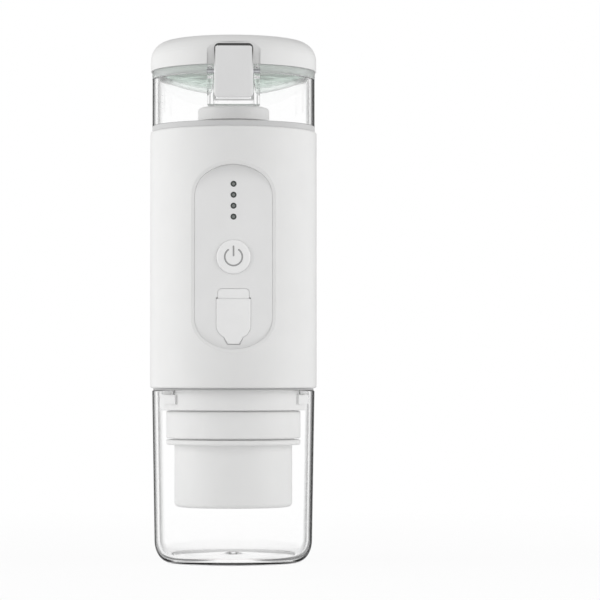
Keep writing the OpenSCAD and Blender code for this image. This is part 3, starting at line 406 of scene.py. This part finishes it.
def clear_plastic(name, colour, edge_shade_colour, edge_at, upright,
                  ior=CLEAR_IOR, rough=CLEAR_ROUGH, clear=1.0):
    """Clear moulded plastic with painted shade where its outside is seen edge on, that lets lamps
    through.

    The painted edge shade stands in for the dark refraction at clear edges, and fades from upright
    walls to level ones by the power given.
    """
    material, tree, shader = new_material(name)
    facing = node(tree, "LayerWeight", Blend=0.5)
    edge = spread(tree, facing, "Facing", 0, 1, edge_at)
    surface = node(tree, "NewGeometry")
    normal = node(tree, "SeparateXYZ")
    link(tree, surface, "Normal", normal, "Vector")
    rise = math_node(tree, "ABSOLUTE", (normal, "Z"))
    level = math_node(tree, "POWER", (rise, "Value"), upright)
    wall = math_node(tree, "SUBTRACT", 1, (level, "Value"))
    outside = math_node(tree, "SUBTRACT", 1, (surface, "Backfacing"))
    on_wall = math_node(tree, "MULTIPLY", (edge, "Result"), (wall, "Value"))
    # painted edge shade, only on the outside of upright walls
    edge_shade_amount = math_node(tree, "MULTIPLY", (on_wall, "Value"), (outside, "Value"))
    tint_and_edge_shade = ramp(tree, edge_shade_amount, "Value", rgba(colour), rgba(edge_shade_colour), (0, 1))
    link(tree, tint_and_edge_shade, "Color", shader, "Base Color")
    bump = node(tree, "Bump", Strength=FLOW_STRENGTH, Distance=FLOW_RELIEF)
    link(tree, noise(tree, FLOW_PATCHES), "Fac", bump, "Height")
    link(tree, bump, "Normal", shader, "Normal")
    shader.inputs["Roughness"].default_value = rough
    shader.inputs["IOR"].default_value = ior
    shader.inputs["Transmission Weight"].default_value = clear
    path = node(tree, "LightPath")
    through = node(tree, "BsdfTransparent", Color=rgba(CLEAR))
    both = mix_shaders(tree, path, "Is Shadow Ray", shader, through)
    link(tree, both, "Shader", tree.get_output_node("ALL"), "Surface")
    return material


def silicone(name, colour):
    """Soft moulded silicone, dull."""
    material, tree, shader = new_material(name)
    patches = noise(tree, SILICONE_PATCHES)
    add_tone(tree, shader, patches, colour, SILICONE_TONES, SILICONE_GLOSS)
    shader.inputs["IOR"].default_value = SILICONE_IOR
    add_grain(tree, shader, noise(tree, SILICONE_GRAIN), SILICONE_RELIEF, SILICONE_EDGE)
    return material


def metal(name, colour, rough, stretch):
    """Worked metal: brush marks drawn out along one axis."""
    material, tree, shader = new_material(name)
    lines = noise(tree, METAL_LINES, METAL_DETAIL, stretch)
    gloss = (rough + METAL_GLOSS[0], rough + METAL_GLOSS[1])
    add_tone(tree, shader, lines, colour, METAL_TONES, gloss)
    shader.inputs["Metallic"].default_value = 1
    add_grain(tree, shader, lines, METAL_RELIEF, METAL_EDGE)
    return material


def make_finishes():
    """Every finish by its name."""
    # painted shade at the edges of clear walls, standing in for their dark refraction
    wall_edge_shade = {"edge_shade_colour": DARK, "edge_at": (0.68, 0.8)}
    kinds = {
        "white_plastic": (moulded_plastic, {"colour": WHITE, "rough": 0.42, "edge": 0.15 * MM}),
        "grey_plastic": (moulded_plastic, {"colour": PANEL_WHITE, "rough": 0.45, "edge": 0.1 * MM}),
        "button_plastic": (moulded_plastic, {"colour": BUTTON_WHITE, "rough": 0.4, "edge": 0}),
        "latch_plastic": (moulded_plastic, {"colour": LATCH_WHITE, "rough": 0.4, "edge": 0}),
        # painted shade: the top of the latch's roll darkens towards LATCH_SHADE
        "latch_edge": (fading_plastic, {
            "low_colour": LATCH_WHITE, "high_colour": LATCH_SHADE, "rough": 0.4,
            "part": "latch_plate", "drop": LATCH_SHADE_DROP}),
        "clear_plastic": (clear_plastic, {"colour": CLEAR, "upright": 2, **wall_edge_shade}),
        "tank_plastic": (clear_plastic, {"colour": CLEAR, "upright": 0.5, **wall_edge_shade}),
        "lug_plastic": (clear_plastic, {
            "colour": CLEAR, "edge_shade_colour": LUG_EDGE_SHADE, "edge_at": (0.7, 0.9), "upright": 2}),
        "floor_plastic": (clear_plastic, {
            "colour": CLEAR, "edge_shade_colour": CLEAR, "edge_at": (0.8, 1), "upright": 0.5,
            "ior": 1.001}),
        "liner_plastic": (clear_plastic, {
            "colour": LINER, "edge_shade_colour": LINER_EDGE_SHADE, "edge_at": (0.8, 0.95), "upright": 400,
            "ior": 1.1}),
        "grey_silicone": (silicone, {"colour": GASKET_GREY}),
        "clear_silicone": (clear_plastic, {
            "colour": HOSE, "edge_shade_colour": HOSE_EDGE_SHADE, "edge_at": (0.6, 0.9), "upright": 2,
            "ior": 1.05}),
        "white_silicone": (silicone, {"colour": BUTTON_WHITE}),
        "seal_silicone": (silicone, {"colour": SEAL_GAP_SHADE}),
        "lid_silicone": (clear_plastic, {
            "colour": LID_SEAL, "edge_shade_colour": LID_SEAL_EDGE_SHADE, "edge_at": (0.6, 0.95), "upright": 2,
            "ior": 1.25, "rough": 0.5, "clear": 0.8}),
        "steel": (metal, {"colour": STEEL, "rough": 0.3, "stretch": (1, 1, 0.05)}),
        "heater_metal": (metal, {"colour": CAST_METAL, "rough": 0.5, "stretch": (1, 1, 1)}),
        "dark_plastic": (moulded_plastic, {"colour": DARK, "rough": 0.45}),
        "light_window": (moulded_plastic, {"colour": WINDOW, "rough": 0.2, "edge": 0}),
        "light_core": (moulded_plastic, {"colour": WINDOW_CORE, "rough": 0.3, "edge": 0}),
        "symbol_ink": (moulded_plastic, {"colour": MARK_GREY, "rough": 0.5, "edge": 0}),
        "mark_ink": (moulded_plastic, {"colour": LEVEL_GREY, "rough": 0.5, "edge": 0}),
        "board_green": (moulded_plastic, {"colour": BOARD, "rough": 0.3}),
        "cell_wrap": (moulded_plastic, {"colour": CELL, "rough": 0.3}),
    }
    return {name: make(name, **values) for name, (make, values) in kinds.items()}


def dress(finishes):
    """Gives every CAD node the finish of its slot, or one of its own."""
    # the cup seal's grey finish is painted shade for the gap under the body
    own = {"lid_liner": "liner_plastic", "lid_seal": "lid_silicone", "cup_seal": "seal_silicone"}
    for part in frame["record"]["subparts"]:
        name = part["node"]
        mesh = cad[name].data
        mesh.materials.clear()
        mesh.materials.append(finishes[own.get(name, part["material_slot"])])
    for name in ("lid_liner", "lid_seal"):
        let_light_in(cad[name])


def corners(name):
    """Lowest and highest corner of a CAD node's box, in millimetres."""
    low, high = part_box(name)
    return Vector(low) / MM, Vector(high) / MM


def middle(name):
    """Middle of a CAD node's box, in millimetres."""
    low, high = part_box(name)
    return (Vector(low) + Vector(high)) / 2 / MM


def arc(centre, radius, start, end, steps):
    """Points of an arc in a plane, from one angle to another in degrees."""
    turns = [math.radians(start + (end - start) * i / steps) for i in range(steps + 1)]
    return [(centre[0] + radius * math.cos(t), centre[1] + radius * math.sin(t)) for t in turns]


def circle(radius, steps):
    """Points of a circle about the middle."""
    return arc((0, 0), radius, 0, 360, steps)[:-1]


def roll(width, depth, steps=ROLL_STEPS):
    """Quarter of an ellipse, as distances in from an edge and below a face."""
    turns = [math.pi / 2 * i / steps for i in range(steps + 1)]
    return [(width * (1 - math.cos(t)), depth * (1 - math.sin(t))) for t in turns]


def cap_radius(r, h):
    """Radius of the ball of which a cap of some radius and height is a part."""
    return (r ** 2 + h ** 2) / (2 * h)


def rectangle(left, right, bottom, top):
    """Four corners of a rectangle in a plane."""
    return [(left, bottom), (right, bottom), (right, top), (left, top)]


def rounded_outline(w, h, r):
    """Rounded rectangle about the middle, with points along its upright sides."""
    x, z = w / 2 - r, h / 2 - r
    side = [z - 2 * z * i / SIDE_STEPS for i in range(1, SIDE_STEPS)]
    upper = arc((x, z), r, 0, 90, CORNER_STEPS) + arc((-x, z), r, 90, 180, CORNER_STEPS)
    lower = arc((-x, -z), r, 180, 270, CORNER_STEPS) + arc((x, -z), r, 270, 360, CORNER_STEPS)
    return upper + [(-w / 2, up) for up in side] + lower + [(w / 2, -up) for up in side]


def inset(outline, d):
    """Outline moved inwards by a distance, with mitred corners."""
    pairs = zip(outline, outline[1:] + outline[:1])
    side = 1 if sum(p[0] * q[1] - q[0] * p[1] for p, q in pairs) > 0 else -1
    moved = []
    for i, point in enumerate(outline):
        before = (Vector(point) - Vector(outline[i - 1])).normalized()
        after = (Vector(outline[(i + 1) % len(outline)]) - Vector(point)).normalized()
        across = Vector((-before.y - after.y, before.x + after.x)) * side
        moved.append(tuple(Vector(point) + across * (2 * d / across.length_squared)))
    return moved


def directions(path):
    """Points of a path in a plane, each with the direction of the path there."""
    path = [Vector(p) for p in path]
    for i, point in enumerate(path):
        yield point, (path[min(i + 1, len(path) - 1)] - path[max(i - 1, 0)]).normalized()


def ribbon(path, thick):
    """Outline of a strip of even thickness along a path in a plane."""
    left, right = [], []
    for point, along in directions(path):
        across = Vector((-along.y, along.x)) * thick / 2
        left.append(tuple(point + across))
        right.append(tuple(point - across))
    return left + right[::-1]


def loft(rings):
    """Closed rings of equal length joined by quads, with a flat face at each end."""
    count = len(rings[0])
    points = [p for ring in rings for p in ring]
    faces = []
    for base in range(0, len(points) - count, count):
        for i in range(count):
            j = (i + 1) % count
            faces.append((base + i, base + j, base + count + j, base + count + i))
    faces.append(tuple(reversed(range(count))))
    faces.append(tuple(range(len(points) - count, len(points))))
    return points, faces


def turned(profile, steps):
    """Closed outline in radius and height, turned about the Z axis."""
    count = len(profile)
    points = []
    for i in range(steps):
        turn = 2 * math.pi * i / steps
        points += [(r * math.cos(turn), r * math.sin(turn), z) for r, z in profile]
    faces = []
    for j in range(count):
        k = (j + 1) % count
        if profile[j][0] == profile[k][0] == 0:
            continue
        for i in range(steps):
            a, b = i * count, (i + 1) % steps * count
            faces.append((a + j, b + j, b + k, a + k))
    return points, faces


def sector(section, turn, angle, steps):
    """Closed outline in radius and height, turned by an angle about a turn from the front to -X."""
    rings = []
    for i in range(steps + 1):
        t = turn + angle * (i / steps - 0.5)
        rings.append([(-r * math.sin(t), -r * math.cos(t), z) for r, z in section])
    return loft(rings)


def side_prism(outline, start, end):
    """Outline in Y and Z drawn out along X."""
    return loft([[(x, y, z) for y, z in outline] for x in (start, end)])


def front_prism(outline, start, end):
    """Outline in X and Z drawn out along Y."""
    return loft([[(x, y, z) for x, z in outline] for y in (start, end)])


def add_solid(piece, solid, bevel=0.0):
    """Adds a closed solid to a piece, with its sharp edges rounded."""
    points, faces = solid
    part = bmesh.new()
    verts = [part.verts.new(p) for p in points]
    for face in faces:
        part.faces.new([verts[i] for i in face])
    bmesh.ops.remove_doubles(part, verts=part.verts, dist=WELD)
    bmesh.ops.recalc_face_normals(part, faces=part.faces)
    if bevel:
        sharp = [e for e in part.edges if e.calc_face_angle(0) > SHARP_EDGE]
        bmesh.ops.bevel(part, geom=sharp, offset=bevel, segments=BEVEL_STEPS, profile=0.5,
                        affect="EDGES")
    mesh = bpy.data.meshes.new("part")
    part.to_mesh(mesh)
    part.free()
    piece.from_mesh(mesh)
    bpy.data.meshes.remove(mesh)


def new_object(name, data):
    """Object that is linked to the scene."""
    made = bpy.data.objects.new(name, data)
    bpy.context.scene.collection.objects.link(made)
    return made


def finish_piece(name, piece, body, finish):
    """Turns a mesh in millimetres into a smooth object that rides on a body."""
    bmesh.ops.scale(piece, vec=(MM, MM, MM), verts=piece.verts)
    mesh = bpy.data.meshes.new(name)
    piece.to_mesh(mesh)
    piece.free()
    mesh.shade_smooth()
    mesh.set_sharp_from_angle(angle=SMOOTH_EDGE)
    mesh.materials.append(finish)
    made = new_object(name, mesh)
    normals = made.modifiers.new("normals", "WEIGHTED_NORMAL")
    normals.keep_sharp = True
    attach(made, body)
    return made


def let_light_in(made):
    """Lets light that bounces off what is inside a clear piece pass straight through it."""
    made.visible_diffuse = False


def second_finish(made, finish, chosen):
    """Gives another finish to the faces of a piece that pass a test."""
    mesh = made.data
    mesh.materials.append(finish)
    for face in mesh.polygons:
        if chosen(face):
            face.material_index = 1


def make_tank(finishes):
    """Clear tank: a round wall, a thin floor, the guard round the latch and the hinge ears."""
    low, high = corners("water_tank")
    base = low.z
    rim = corners("lid_seal")[0].z - SEAT_GAP
    r = high.x
    e = TANK_EDGE
    inner = r - TANK_WALL
    wall = []
    for x, z, turn in ((r - e, base + e, -90), (r - e, rim - e, 0),
                       (inner + e, rim - e, 90), (inner + e, base + e, 180)):
        wall += arc((x, z), e, turn, turn + 90, EDGE_STEPS)
    edge = inner - SEAT_GAP / 2
    floor = base + TANK_FLOOR
    seat = base + TANK_SEAT
    disc = [(TANK_HOLE_R, base), (edge, base), (edge, floor), (TANK_LEDGE_R, floor)]
    disc += [(TANK_LEDGE_R, seat), (TANK_HOLE_R, seat)]
    piece = bmesh.new()
    add_solid(piece, turned(wall, TANK_STEPS))
    add_solid(piece, turned(disc, TANK_STEPS))
    add_guard(piece, r)
    add_ears(piece, r, rim)
    made = finish_piece("tank", piece, "housing", finishes["tank_plastic"])
    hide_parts("water_tank")
    let_light_in(made)
    limit = (edge + NEAR) * MM
    second_finish(made, finishes["floor_plastic"], lambda face: face.center.xy.length < limit)


def add_pair(piece, outline, inner, width, bevel):
    """Two plates with an outline in Y and Z, one on each side of the middle."""
    for x in (inner, -inner - width):
        add_solid(piece, side_prism(outline, x, x + width), bevel)


def add_guard(piece, r):
    """Two cheeks and a bar in front of the tank, which stop just short of its round wall."""
    latch_low, latch_high = corners("latch_plate")
    pin = middle("latch_pin")
    front = latch_low.y + GUARD_GAP
    inner = latch_high.x + GUARD_GAP
    bar_top = latch_low.z - GUARD_BAR_GAP
    bottom = bar_top - GUARD_BAR_H
    back = -math.sqrt(r * r - inner * inner) - SEAT_GAP
    under = pin.z - GUARD_EYE_R
    end = math.degrees(math.acos((front - pin.y) / GUARD_EYE_R))
    cheek = [(front, bottom), (back, bottom), (back, under), (pin.y + GUARD_EYE_R, under)]
    cheek += arc((pin.y, pin.z), GUARD_EYE_R, 0, end, GUARD_EYE_STEPS)
    add_pair(piece, cheek, inner, GUARD_T - PIN_PROUD, GUARD_EDGE)
    half = inner - SEAT_GAP / 2
    bar = rectangle(-half, half, bottom, bar_top)
    add_solid(piece, front_prism(bar, front, -r - SEAT_GAP), GUARD_EDGE)


def add_ears(piece, r, rim):
    """Two ears behind the tank that carry the lid's pin."""
    pin = middle("lid_pin")
    inner = corners("lid_pin")[1].x - EAR_W
    back = math.sqrt(r * r - inner * inner) + SEAT_GAP
    shoulder = rim - EAR_SHOULDER
    ear = [(back, rim - EAR_DROP), (pin.y + EAR_EYE_R, pin.z - EAR_EYE_R)]
    ear += arc((pin.y, pin.z), EAR_EYE_R, 0, 180, EAR_STEPS)
    ear += [(pin.y - EAR_EYE_R, shoulder), (back, shoulder)]
    add_pair(piece, ear, inner, EAR_W - PIN_PROUD, EAR_EDGE)


def make_marks(finishes):
    """Three short level marks on the tank's left wall."""
    low, high = corners("water_tank")
    piece = bmesh.new()
    for level in MARK_LEVELS:
        z = low.z + level
        section = rectangle(high.x + MARK_OFF, high.x + MARK_PROUD, z, z + MARK_H)
        add_solid(piece, sector(section, MARK_TURN, MARK_ANGLE, MARK_STEPS))
    finish_piece("tank_marks", piece, "housing", finishes["mark_ink"])


def make_latch(finishes):
    """Latch plate whose front rolls off along its edges, with its eye, its hook and painted shade on
    the roll along its top.
    """
    low, high = corners("latch_plate")
    pin = middle("latch_pin")
    w, h = high.x - low.x, high.z - low.z
    mid = (low.z + high.z) / 2
    back = low.y + LATCH_T
    rings = [[(x, back, mid + z) for x, z in rounded_outline(w, h, LATCH_CORNER)]]
    for d, down in roll(LATCH_ROLL_W, LATCH_ROLL_D):
        outline = rounded_outline(w - 2 * d, h - 2 * d, LATCH_CORNER - d)
        rings.append([(x, low.y + down, mid + z) for x, z in outline])
    root = back - LAP
    eye = arc((pin.y, pin.z), LATCH_EYE_R, -LATCH_EYE_TURN, LATCH_EYE_TURN, LATCH_EYE_STEPS)
    eye += [(root, eye[-1][1]), (root, eye[0][1])]
    hook_top = high.z - HOOK_INSET
    hook = rectangle(root, high.y, hook_top - HOOK_H, hook_top)
    piece = bmesh.new()
    add_solid(piece, loft(rings))
    add_solid(piece, side_prism(eye, low.x + LAP, high.x - LAP))
    add_solid(piece, side_prism(hook, -HOOK_W / 2, HOOK_W / 2), HOOK_EDGE)
    made = finish_piece("latch_face", piece, "latch", finishes["latch_plastic"])
    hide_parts("latch_plate")

    def in_shadow(face):
        """True where shade is painted: on most of the roll along the top, and on less of it along the
        sides.
        """
        if face.center.z / MM <= high.z - LATCH_SHADE_DROP[0] or face.normal.y >= -SHADE_FACING:
            return False
        up = max(0, face.normal.z / max(face.normal.xz.length, WELD))
        depth = (face.center.y / MM - low.y) / LATCH_ROLL_D
        return depth > SHADE_DEPTH - SHADE_RISE * up

    # Painted shade on the roll along the latch's top and upper sides
    second_finish(made, finishes["latch_edge"], in_shadow)


def make_spring(finishes):
    """Bent leaf behind the latch, made in its resting shape; on the real maker it flattens against
    the tank as the latch is pressed.
    """
    low, high = corners("latch_spring")
    wall = high.y - SPRING_T / 2
    foot = low.z + SPRING_T / 2 + SPRING_BEND
    bend = arc((wall - SPRING_BEND, foot), SPRING_BEND, 0, -SPRING_TURN, SPRING_STEPS)
    path = [(wall, high.z)] + bend + [(low.y + SPRING_T, high.z - SPRING_TIP_DROP)]
    piece = bmesh.new()
    add_solid(piece, side_prism(ribbon(path, SPRING_T), low.x, high.x))
    made = finish_piece("latch_leaf", piece, "housing", finishes["steel"])
    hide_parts("latch_spring")
    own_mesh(made)


def cup_profile(r, h):
    """Outline of the cup from the middle of its foot, over its wall, to the middle of its floor."""
    steps = [math.sin(math.pi / 2 * i / CUP_CORNER_STEPS) for i in range(CUP_CORNER_STEPS + 1)]
    foot = [(CUP_FOOT_R * s, CUP_FOOT_HOLLOW * (1 - s ** CUP_FOOT_POWER)) for s in steps]
    mid = CUP_LOW_R - CUP_CORNER_W
    inner_h = CUP_CORNER - CUP_WALL
    outer_share = CUP_CORNER_W / CUP_CORNER
    inner_share = (CUP_CORNER_W - CUP_WALL) / inner_h
    outside = arc((0, CUP_CORNER), CUP_CORNER, -90, 0, CUP_CORNER_STEPS)
    inside = arc((0, CUP_FLOOR + inner_h), inner_h, 0, -90, CUP_CORNER_STEPS)
    rim = arc((r - CUP_EDGE, h - CUP_EDGE), CUP_EDGE, 0, 90, EDGE_STEPS) + [(r - CUP_WALL, h)]
    ball = cap_radius(CUP_GATE_R, CUP_GATE_H)
    turn = math.degrees(math.asin(CUP_GATE_R / ball))
    gate = arc((0, CUP_FLOOR + CUP_GATE_H - ball), ball, 90 - turn, 90, CORNER_STEPS)
    gate[-1] = (0, gate[-1][1])
    outside = [(mid + x * outer_share, z) for x, z in outside]
    inside = [(mid + x * inner_share, z) for x, z in inside]
    return foot + outside + rim + inside + gate


def make_cup(finishes):
    """Clear cup with an oval corner, a hollow foot, a rise in its floor and lugs inside its rim."""
    high = corners("cup")[1]
    piece = bmesh.new()
    add_solid(piece, turned(cup_profile(high.x, high.z), CUP_STEPS))
    made = finish_piece("cup_glass", piece, "cup", finishes["clear_plastic"])
    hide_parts("cup")
    let_light_in(made)
    outer = high.x - CUP_WALL - SEAT_GAP / 2
    section = rectangle(LUG_R, outer, high.z - LUG_H, high.z)
    lugs = bmesh.new()
    for i in range(LUG_COUNT):
        turn = LUG_START - 2 * math.pi * i / LUG_COUNT
        add_solid(lugs, sector(section, turn, LUG_ANGLE, ROLL_STEPS), LUG_EASE)
    finish_piece("cup_lugs", lugs, "cup", finishes["lug_plastic"])


def hollow_depth(r):
    """Depth of the button's hollow face below its rim, at a distance from the middle."""
    ball = cap_radius(BUTTON_HOLLOW_R, BUTTON_HOLLOW)
    return BUTTON_HOLLOW - (ball - math.sqrt(ball ** 2 - r ** 2))


def make_button(finishes):
    """Round button with a rolled edge, a hollow face and a flange behind the panel."""
    low, high = corners("power_button")
    mid = middle("power_button")
    crest = BUTTON_R - BUTTON_ROLL_W
    face = low.y + hollow_depth(crest)
    front = high.y - BUTTON_FLANGE_T
    outline = [(0, high.y), (high.x, high.y), (high.x, front), (BUTTON_R, front)]
    outline += [(BUTTON_R - d, face + down) for d, down in roll(BUTTON_ROLL_W, BUTTON_ROLL_D)]
    for i in range(BUTTON_FACE_STEPS - 1, -1, -1):
        r = crest * i / BUTTON_FACE_STEPS
        outline.append((r, low.y + hollow_depth(r)))
    points, faces = turned(outline, BUTTON_STEPS)
    piece = bmesh.new()
    add_solid(piece, ([(x, y, mid.z + z) for x, z, y in points], faces))
    made = finish_piece("button_face", piece, "button", finishes["button_plastic"])
    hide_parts("power_button")


def flap_outline(half, top, low):
    """Outline of the flap in X and Z, with round lower corners and a pull tab."""
    r = FLAP_CORNER + FLAP_GROW
    bottom = low + FLAP_TAB_LEN - FLAP_GROW
    root, end = FLAP_TAB_W / 2, FLAP_TAB_END_W / 2
    turn = math.degrees(math.acos((root + r - half) / r))
    left = arc((r - half, bottom + r), r, 180, 180 + turn, FLAP_CORNER_STEPS)
    right = arc((half - r, bottom + r), r, -turn, 0, FLAP_CORNER_STEPS)
    tab = [(-root, bottom), (-end, low), (end, low), (root, bottom)]
    return [(-half, top)] + left + tab + right + [(half, top)]


def make_flap(finishes):
    """Soft flap with round edges, a pull tab and the plug behind it."""
    low, high = corners("port_flap")
    outline = flap_outline(high.x + FLAP_GROW, high.z, low.z)
    back = low.y + FLAP_T
    edge = roll(FLAP_EDGE, FLAP_EDGE, FLAP_EDGE_STEPS)
    rings = [(d, back - down) for d, down in reversed(edge)]
    rings += [(d, low.y + down) for d, down in edge]
    plug_z = high.z - FLAP_T / 2 - PLUG_DROP
    plug = [(x, plug_z + z) for x, z in rounded_outline(PLUG_W, PLUG_H, PLUG_CORNER)]
    piece = bmesh.new()
    add_solid(piece, loft([[(x, y, z) for x, z in inset(outline, d)] for d, y in rings]))
    add_solid(piece, front_prism(plug, back - LAP, high.y))
    made = finish_piece("flap_cover", piece, "flap", finishes["white_silicone"])
    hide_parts("port_flap")


def make_flap_web(finishes):
    """Soft web at the bottom of the groove between the flap's round top and the fixed tab."""
    low, high = corners("port_flap")
    tab_low, tab_high = corners("flap_anchor")
    y, z = low.y + FLAP_T / 2, high.z - FLAP_T / 2
    top = tab_low.z + WEB_LAP
    start = 90 + math.degrees(math.asin(WEB_FRONT / WEB_R))
    end = 90 - math.degrees(math.asin(WEB_BACK / WEB_R))
    groove = arc((y, z), WEB_R, start, end, ROLL_STEPS)
    outline = [(y - WEB_FRONT, top)] + groove + [(y + WEB_BACK, top)]
    piece = bmesh.new()
    add_solid(piece, side_prism(outline, tab_low.x, tab_high.x))
    finish_piece("flap_web", piece, "housing", finishes["white_silicone"])


def add_stroke(piece, path, place):
    """Flat stroke with round ends along a path in X and Z, laid on a surface."""
    half = SYMBOL_STROKE / 2
    rings = []
    for i, (point, along) in enumerate(directions(path)):
        across = Vector((-along.y, along.x))
        ends = [(0, 1)]
        if i == 0:
            ends = [(-ahead, share) for ahead, share in reversed(STROKE_END)]
        if i == len(path) - 1:
            ends = STROKE_END
        for ahead, share in ends:
            mid = point + along * half * ahead
            side = across * half * share
            rings.append([place(mid - side, 1), place(mid - side, -1),
                          place(mid + side, -1), place(mid + side, 1)])
    add_solid(piece, loft(rings))


def make_symbol(finishes):
    """Common on and off sign, laid in the hollow of the button's face."""
    face = corners("power_button")[0].y
    mid = middle("power_button")

    def place(point, side):
        """Point of the face moved back by 1 or forward by -1 times the sign's height."""
        return (point.x, face + hollow_depth(point.length) + SYMBOL_PROUD * side, mid.z + point.y)

    start, end = SYMBOL_BAR
    bar = [(0, start + (end - start) * i / SYMBOL_BAR_STEPS) for i in range(SYMBOL_BAR_STEPS + 1)]
    piece = bmesh.new()
    add_stroke(piece, arc((0, 0), SYMBOL_R, 90 + SYMBOL_GAP, 450 - SYMBOL_GAP, SYMBOL_STEPS), place)
    add_stroke(piece, bar, place)
    finish_piece("power_symbol", piece, "button", finishes["symbol_ink"])


def make_lights(finishes):
    """Low domes over the four light windows, with a paler core."""
    low, high = corners("light_pipes")
    first, last = low.z + LIGHT_R, high.z - LIGHT_R

    def dome(r):
        """Place of a dome's front at a distance from its middle."""
        return low.y - LIGHT_OFF - LIGHT_RISE * (1 - (r / LIGHT_R) ** 2)

    piece = bmesh.new()
    for i in range(LIGHT_COUNT):
        z = first + (last - first) * i / (LIGHT_COUNT - 1)
        add_solid(piece, loft([[(x, dome(r), z + up) for x, up in circle(r, LIGHT_STEPS)]
                               for r in LIGHT_RINGS]))
    made = finish_piece("light_lenses", piece, "housing", finishes["light_window"])
    front = dome(LIGHT_CORE_R) * MM
    second_finish(made, finishes["light_core"], lambda face: face.center.y < front)


def shown_rays(tree):
    """1 for rays that show the background, straight or in gloss and glass, and 0 for light."""
    path = node(tree, "LightPath")
    seen = math_node(tree, "MAXIMUM", (path, "Is Camera Ray"), (path, "Is Glossy Ray"))
    through = math_node(tree, "MAXIMUM", (seen, "Value"), (path, "Is Transmission Ray"))
    direct = math_node(tree, "LESS_THAN", (path, "Diffuse Depth"), 0.5)
    return math_node(tree, "MULTIPLY", (through, "Value"), (direct, "Value"))


def make_card(tree, direction, side, card):
    """Dark card behind the object on one side."""
    start, end = card
    aside = math_node(tree, "MULTIPLY", (direction, "X"), side)
    inner = spread(tree, aside, "Value", 0, CARD_DARK, (start - CARD_BLUR, start + CARD_BLUR))
    outer = spread(tree, aside, "Value", 1, 0, (end - CARD_BLUR, end + CARD_BLUR))
    behind = math_node(tree, "GREATER_THAN", (direction, "Y"), 0)
    both = math_node(tree, "MULTIPLY", (inner, "Result"), (outer, "Result"))
    return math_node(tree, "MULTIPLY", (both, "Value"), (behind, "Value"))


def make_world():
    """White all round, a soft even light, and a dimmer ceiling and two cards in gloss and glass.

    Only rays that were mirrored show the cards.
    """
    world = bpy.data.worlds.new("studio")
    bpy.context.scene.world = world
    tree = bare_tree(world)
    out = node(tree, "OutputWorld")
    soft = node(tree, "Background", Color=rgba(CLEAR), Strength=AMBIENT)
    white = node(tree, "Background", Strength=1.0)
    coordinates = node(tree, "TexCoord")
    direction = node(tree, "SeparateXYZ")
    link(tree, coordinates, "Generated", direction, "Vector")
    above = spread(tree, direction, "Z", 1, CEILING_TONE, CEILING_RISE)
    path = node(tree, "LightPath")
    left = make_card(tree, direction, -1, LEFT_CARD)
    right = make_card(tree, direction, 1, RIGHT_CARD)
    cards = math_node(tree, "ADD", (left, "Value"), (right, "Value"))
    mirrored = math_node(tree, "GREATER_THAN", (path, "Glossy Depth"), 0.5)
    dark = math_node(tree, "MULTIPLY", (cards, "Value"), (mirrored, "Value"))
    open_part = math_node(tree, "SUBTRACT", 1, (dark, "Value"))
    shown = math_node(tree, "MULTIPLY", (above, "Result"), (open_part, "Value"))
    tone = math_node(tree, "MAXIMUM", (shown, "Value"), (path, "Is Camera Ray"))
    link(tree, tone, "Value", white, "Color")
    mix = mix_shaders(tree, shown_rays(tree), "Value", soft, white)
    link(tree, mix, "Shader", out, "Surface")


def make_floor():
    """Pale round floor that keeps the object's shadow, fades out and can't be seen from below.

    Most of it is clear to what shows the background, so a part that drops below it still shows.
    """
    mesh = bpy.data.meshes.new("floor")
    rim = [(x, y, 0) for x, y in circle(FLOOR_R, FLOOR_STEPS)]
    mesh.from_pydata(rim, [], [tuple(range(FLOOR_STEPS))])
    floor = new_object("floor", mesh)
    material = bpy.data.materials.new("floor")
    tree = bare_tree(material)
    out = node(tree, "OutputMaterial")
    matt = node(tree, "BsdfDiffuse", Color=rgba(FLOOR_TONE))
    share = math_node(tree, "MULTIPLY", (shown_rays(tree), "Value"), FLOOR_CLEAR)
    lit = mix_shaders(tree, share, "Value", matt, node(tree, "BsdfTransparent"))
    coordinates = node(tree, "TexCoord")
    distance = node(tree, "VectorMath")
    distance.operation = "LENGTH"
    link(tree, coordinates, "Object", distance, 0)
    far = spread(tree, distance, "Value", 0, 1, FLOOR_FADE)
    below = node(tree, "NewGeometry")
    gone = math_node(tree, "MAXIMUM", (far, "Result"), (below, "Backfacing"))
    faded = mix_shaders(tree, gone, "Value", lit, node(tree, "BsdfTransparent"))
    link(tree, faded, "Shader", out, "Surface")
    mesh.materials.append(material)
    floor.visible_glossy = False


def soft_box(name, angle, power):
    """Upright soft light that faces the object from an angle off the front."""
    lamp = bpy.data.lights.new(name, "AREA")
    lamp.shape = "RECTANGLE"
    lamp.size, lamp.size_y = LAMP_SIZE
    lamp.energy = power
    made = new_object(name, lamp)
    aside, ahead = math.sin(angle) * LAMP_DISTANCE, -math.cos(angle) * LAMP_DISTANCE
    made.location = (aside, ahead, LAMP_HEIGHT)
    made.rotation_euler = (LAMP_AIM - made.location).to_track_quat("-Z", "Y").to_euler()
    made.visible_glossy = False
    made.visible_transmission = False


def make_camera():
    """Camera in front of the panel."""
    lens = bpy.data.cameras.new("camera")
    lens.lens = LENS
    lens.sensor_width = SENSOR
    lens.clip_start = CLIP_NEAR
    lens.clip_end = CLIP_FAR
    camera = new_object("camera", lens)
    camera.location = EYE
    camera.rotation_euler = (math.pi / 2 + TURN_UP, 0, -TURN_RIGHT)
    bpy.context.scene.camera = camera


bpy.context.scene.view_settings.view_transform = "Standard"
make_camera()
make_world()
make_floor()
soft_box("left_box", *LEFT_LAMP)
soft_box("right_box", *RIGHT_LAMP)
finishes = make_finishes()
dress(finishes)
make_tank(finishes)
make_marks(finishes)
make_latch(finishes)
make_spring(finishes)
make_cup(finishes)
make_button(finishes)
make_flap(finishes)
make_flap_web(finishes)
make_symbol(finishes)
make_lights(finishes)
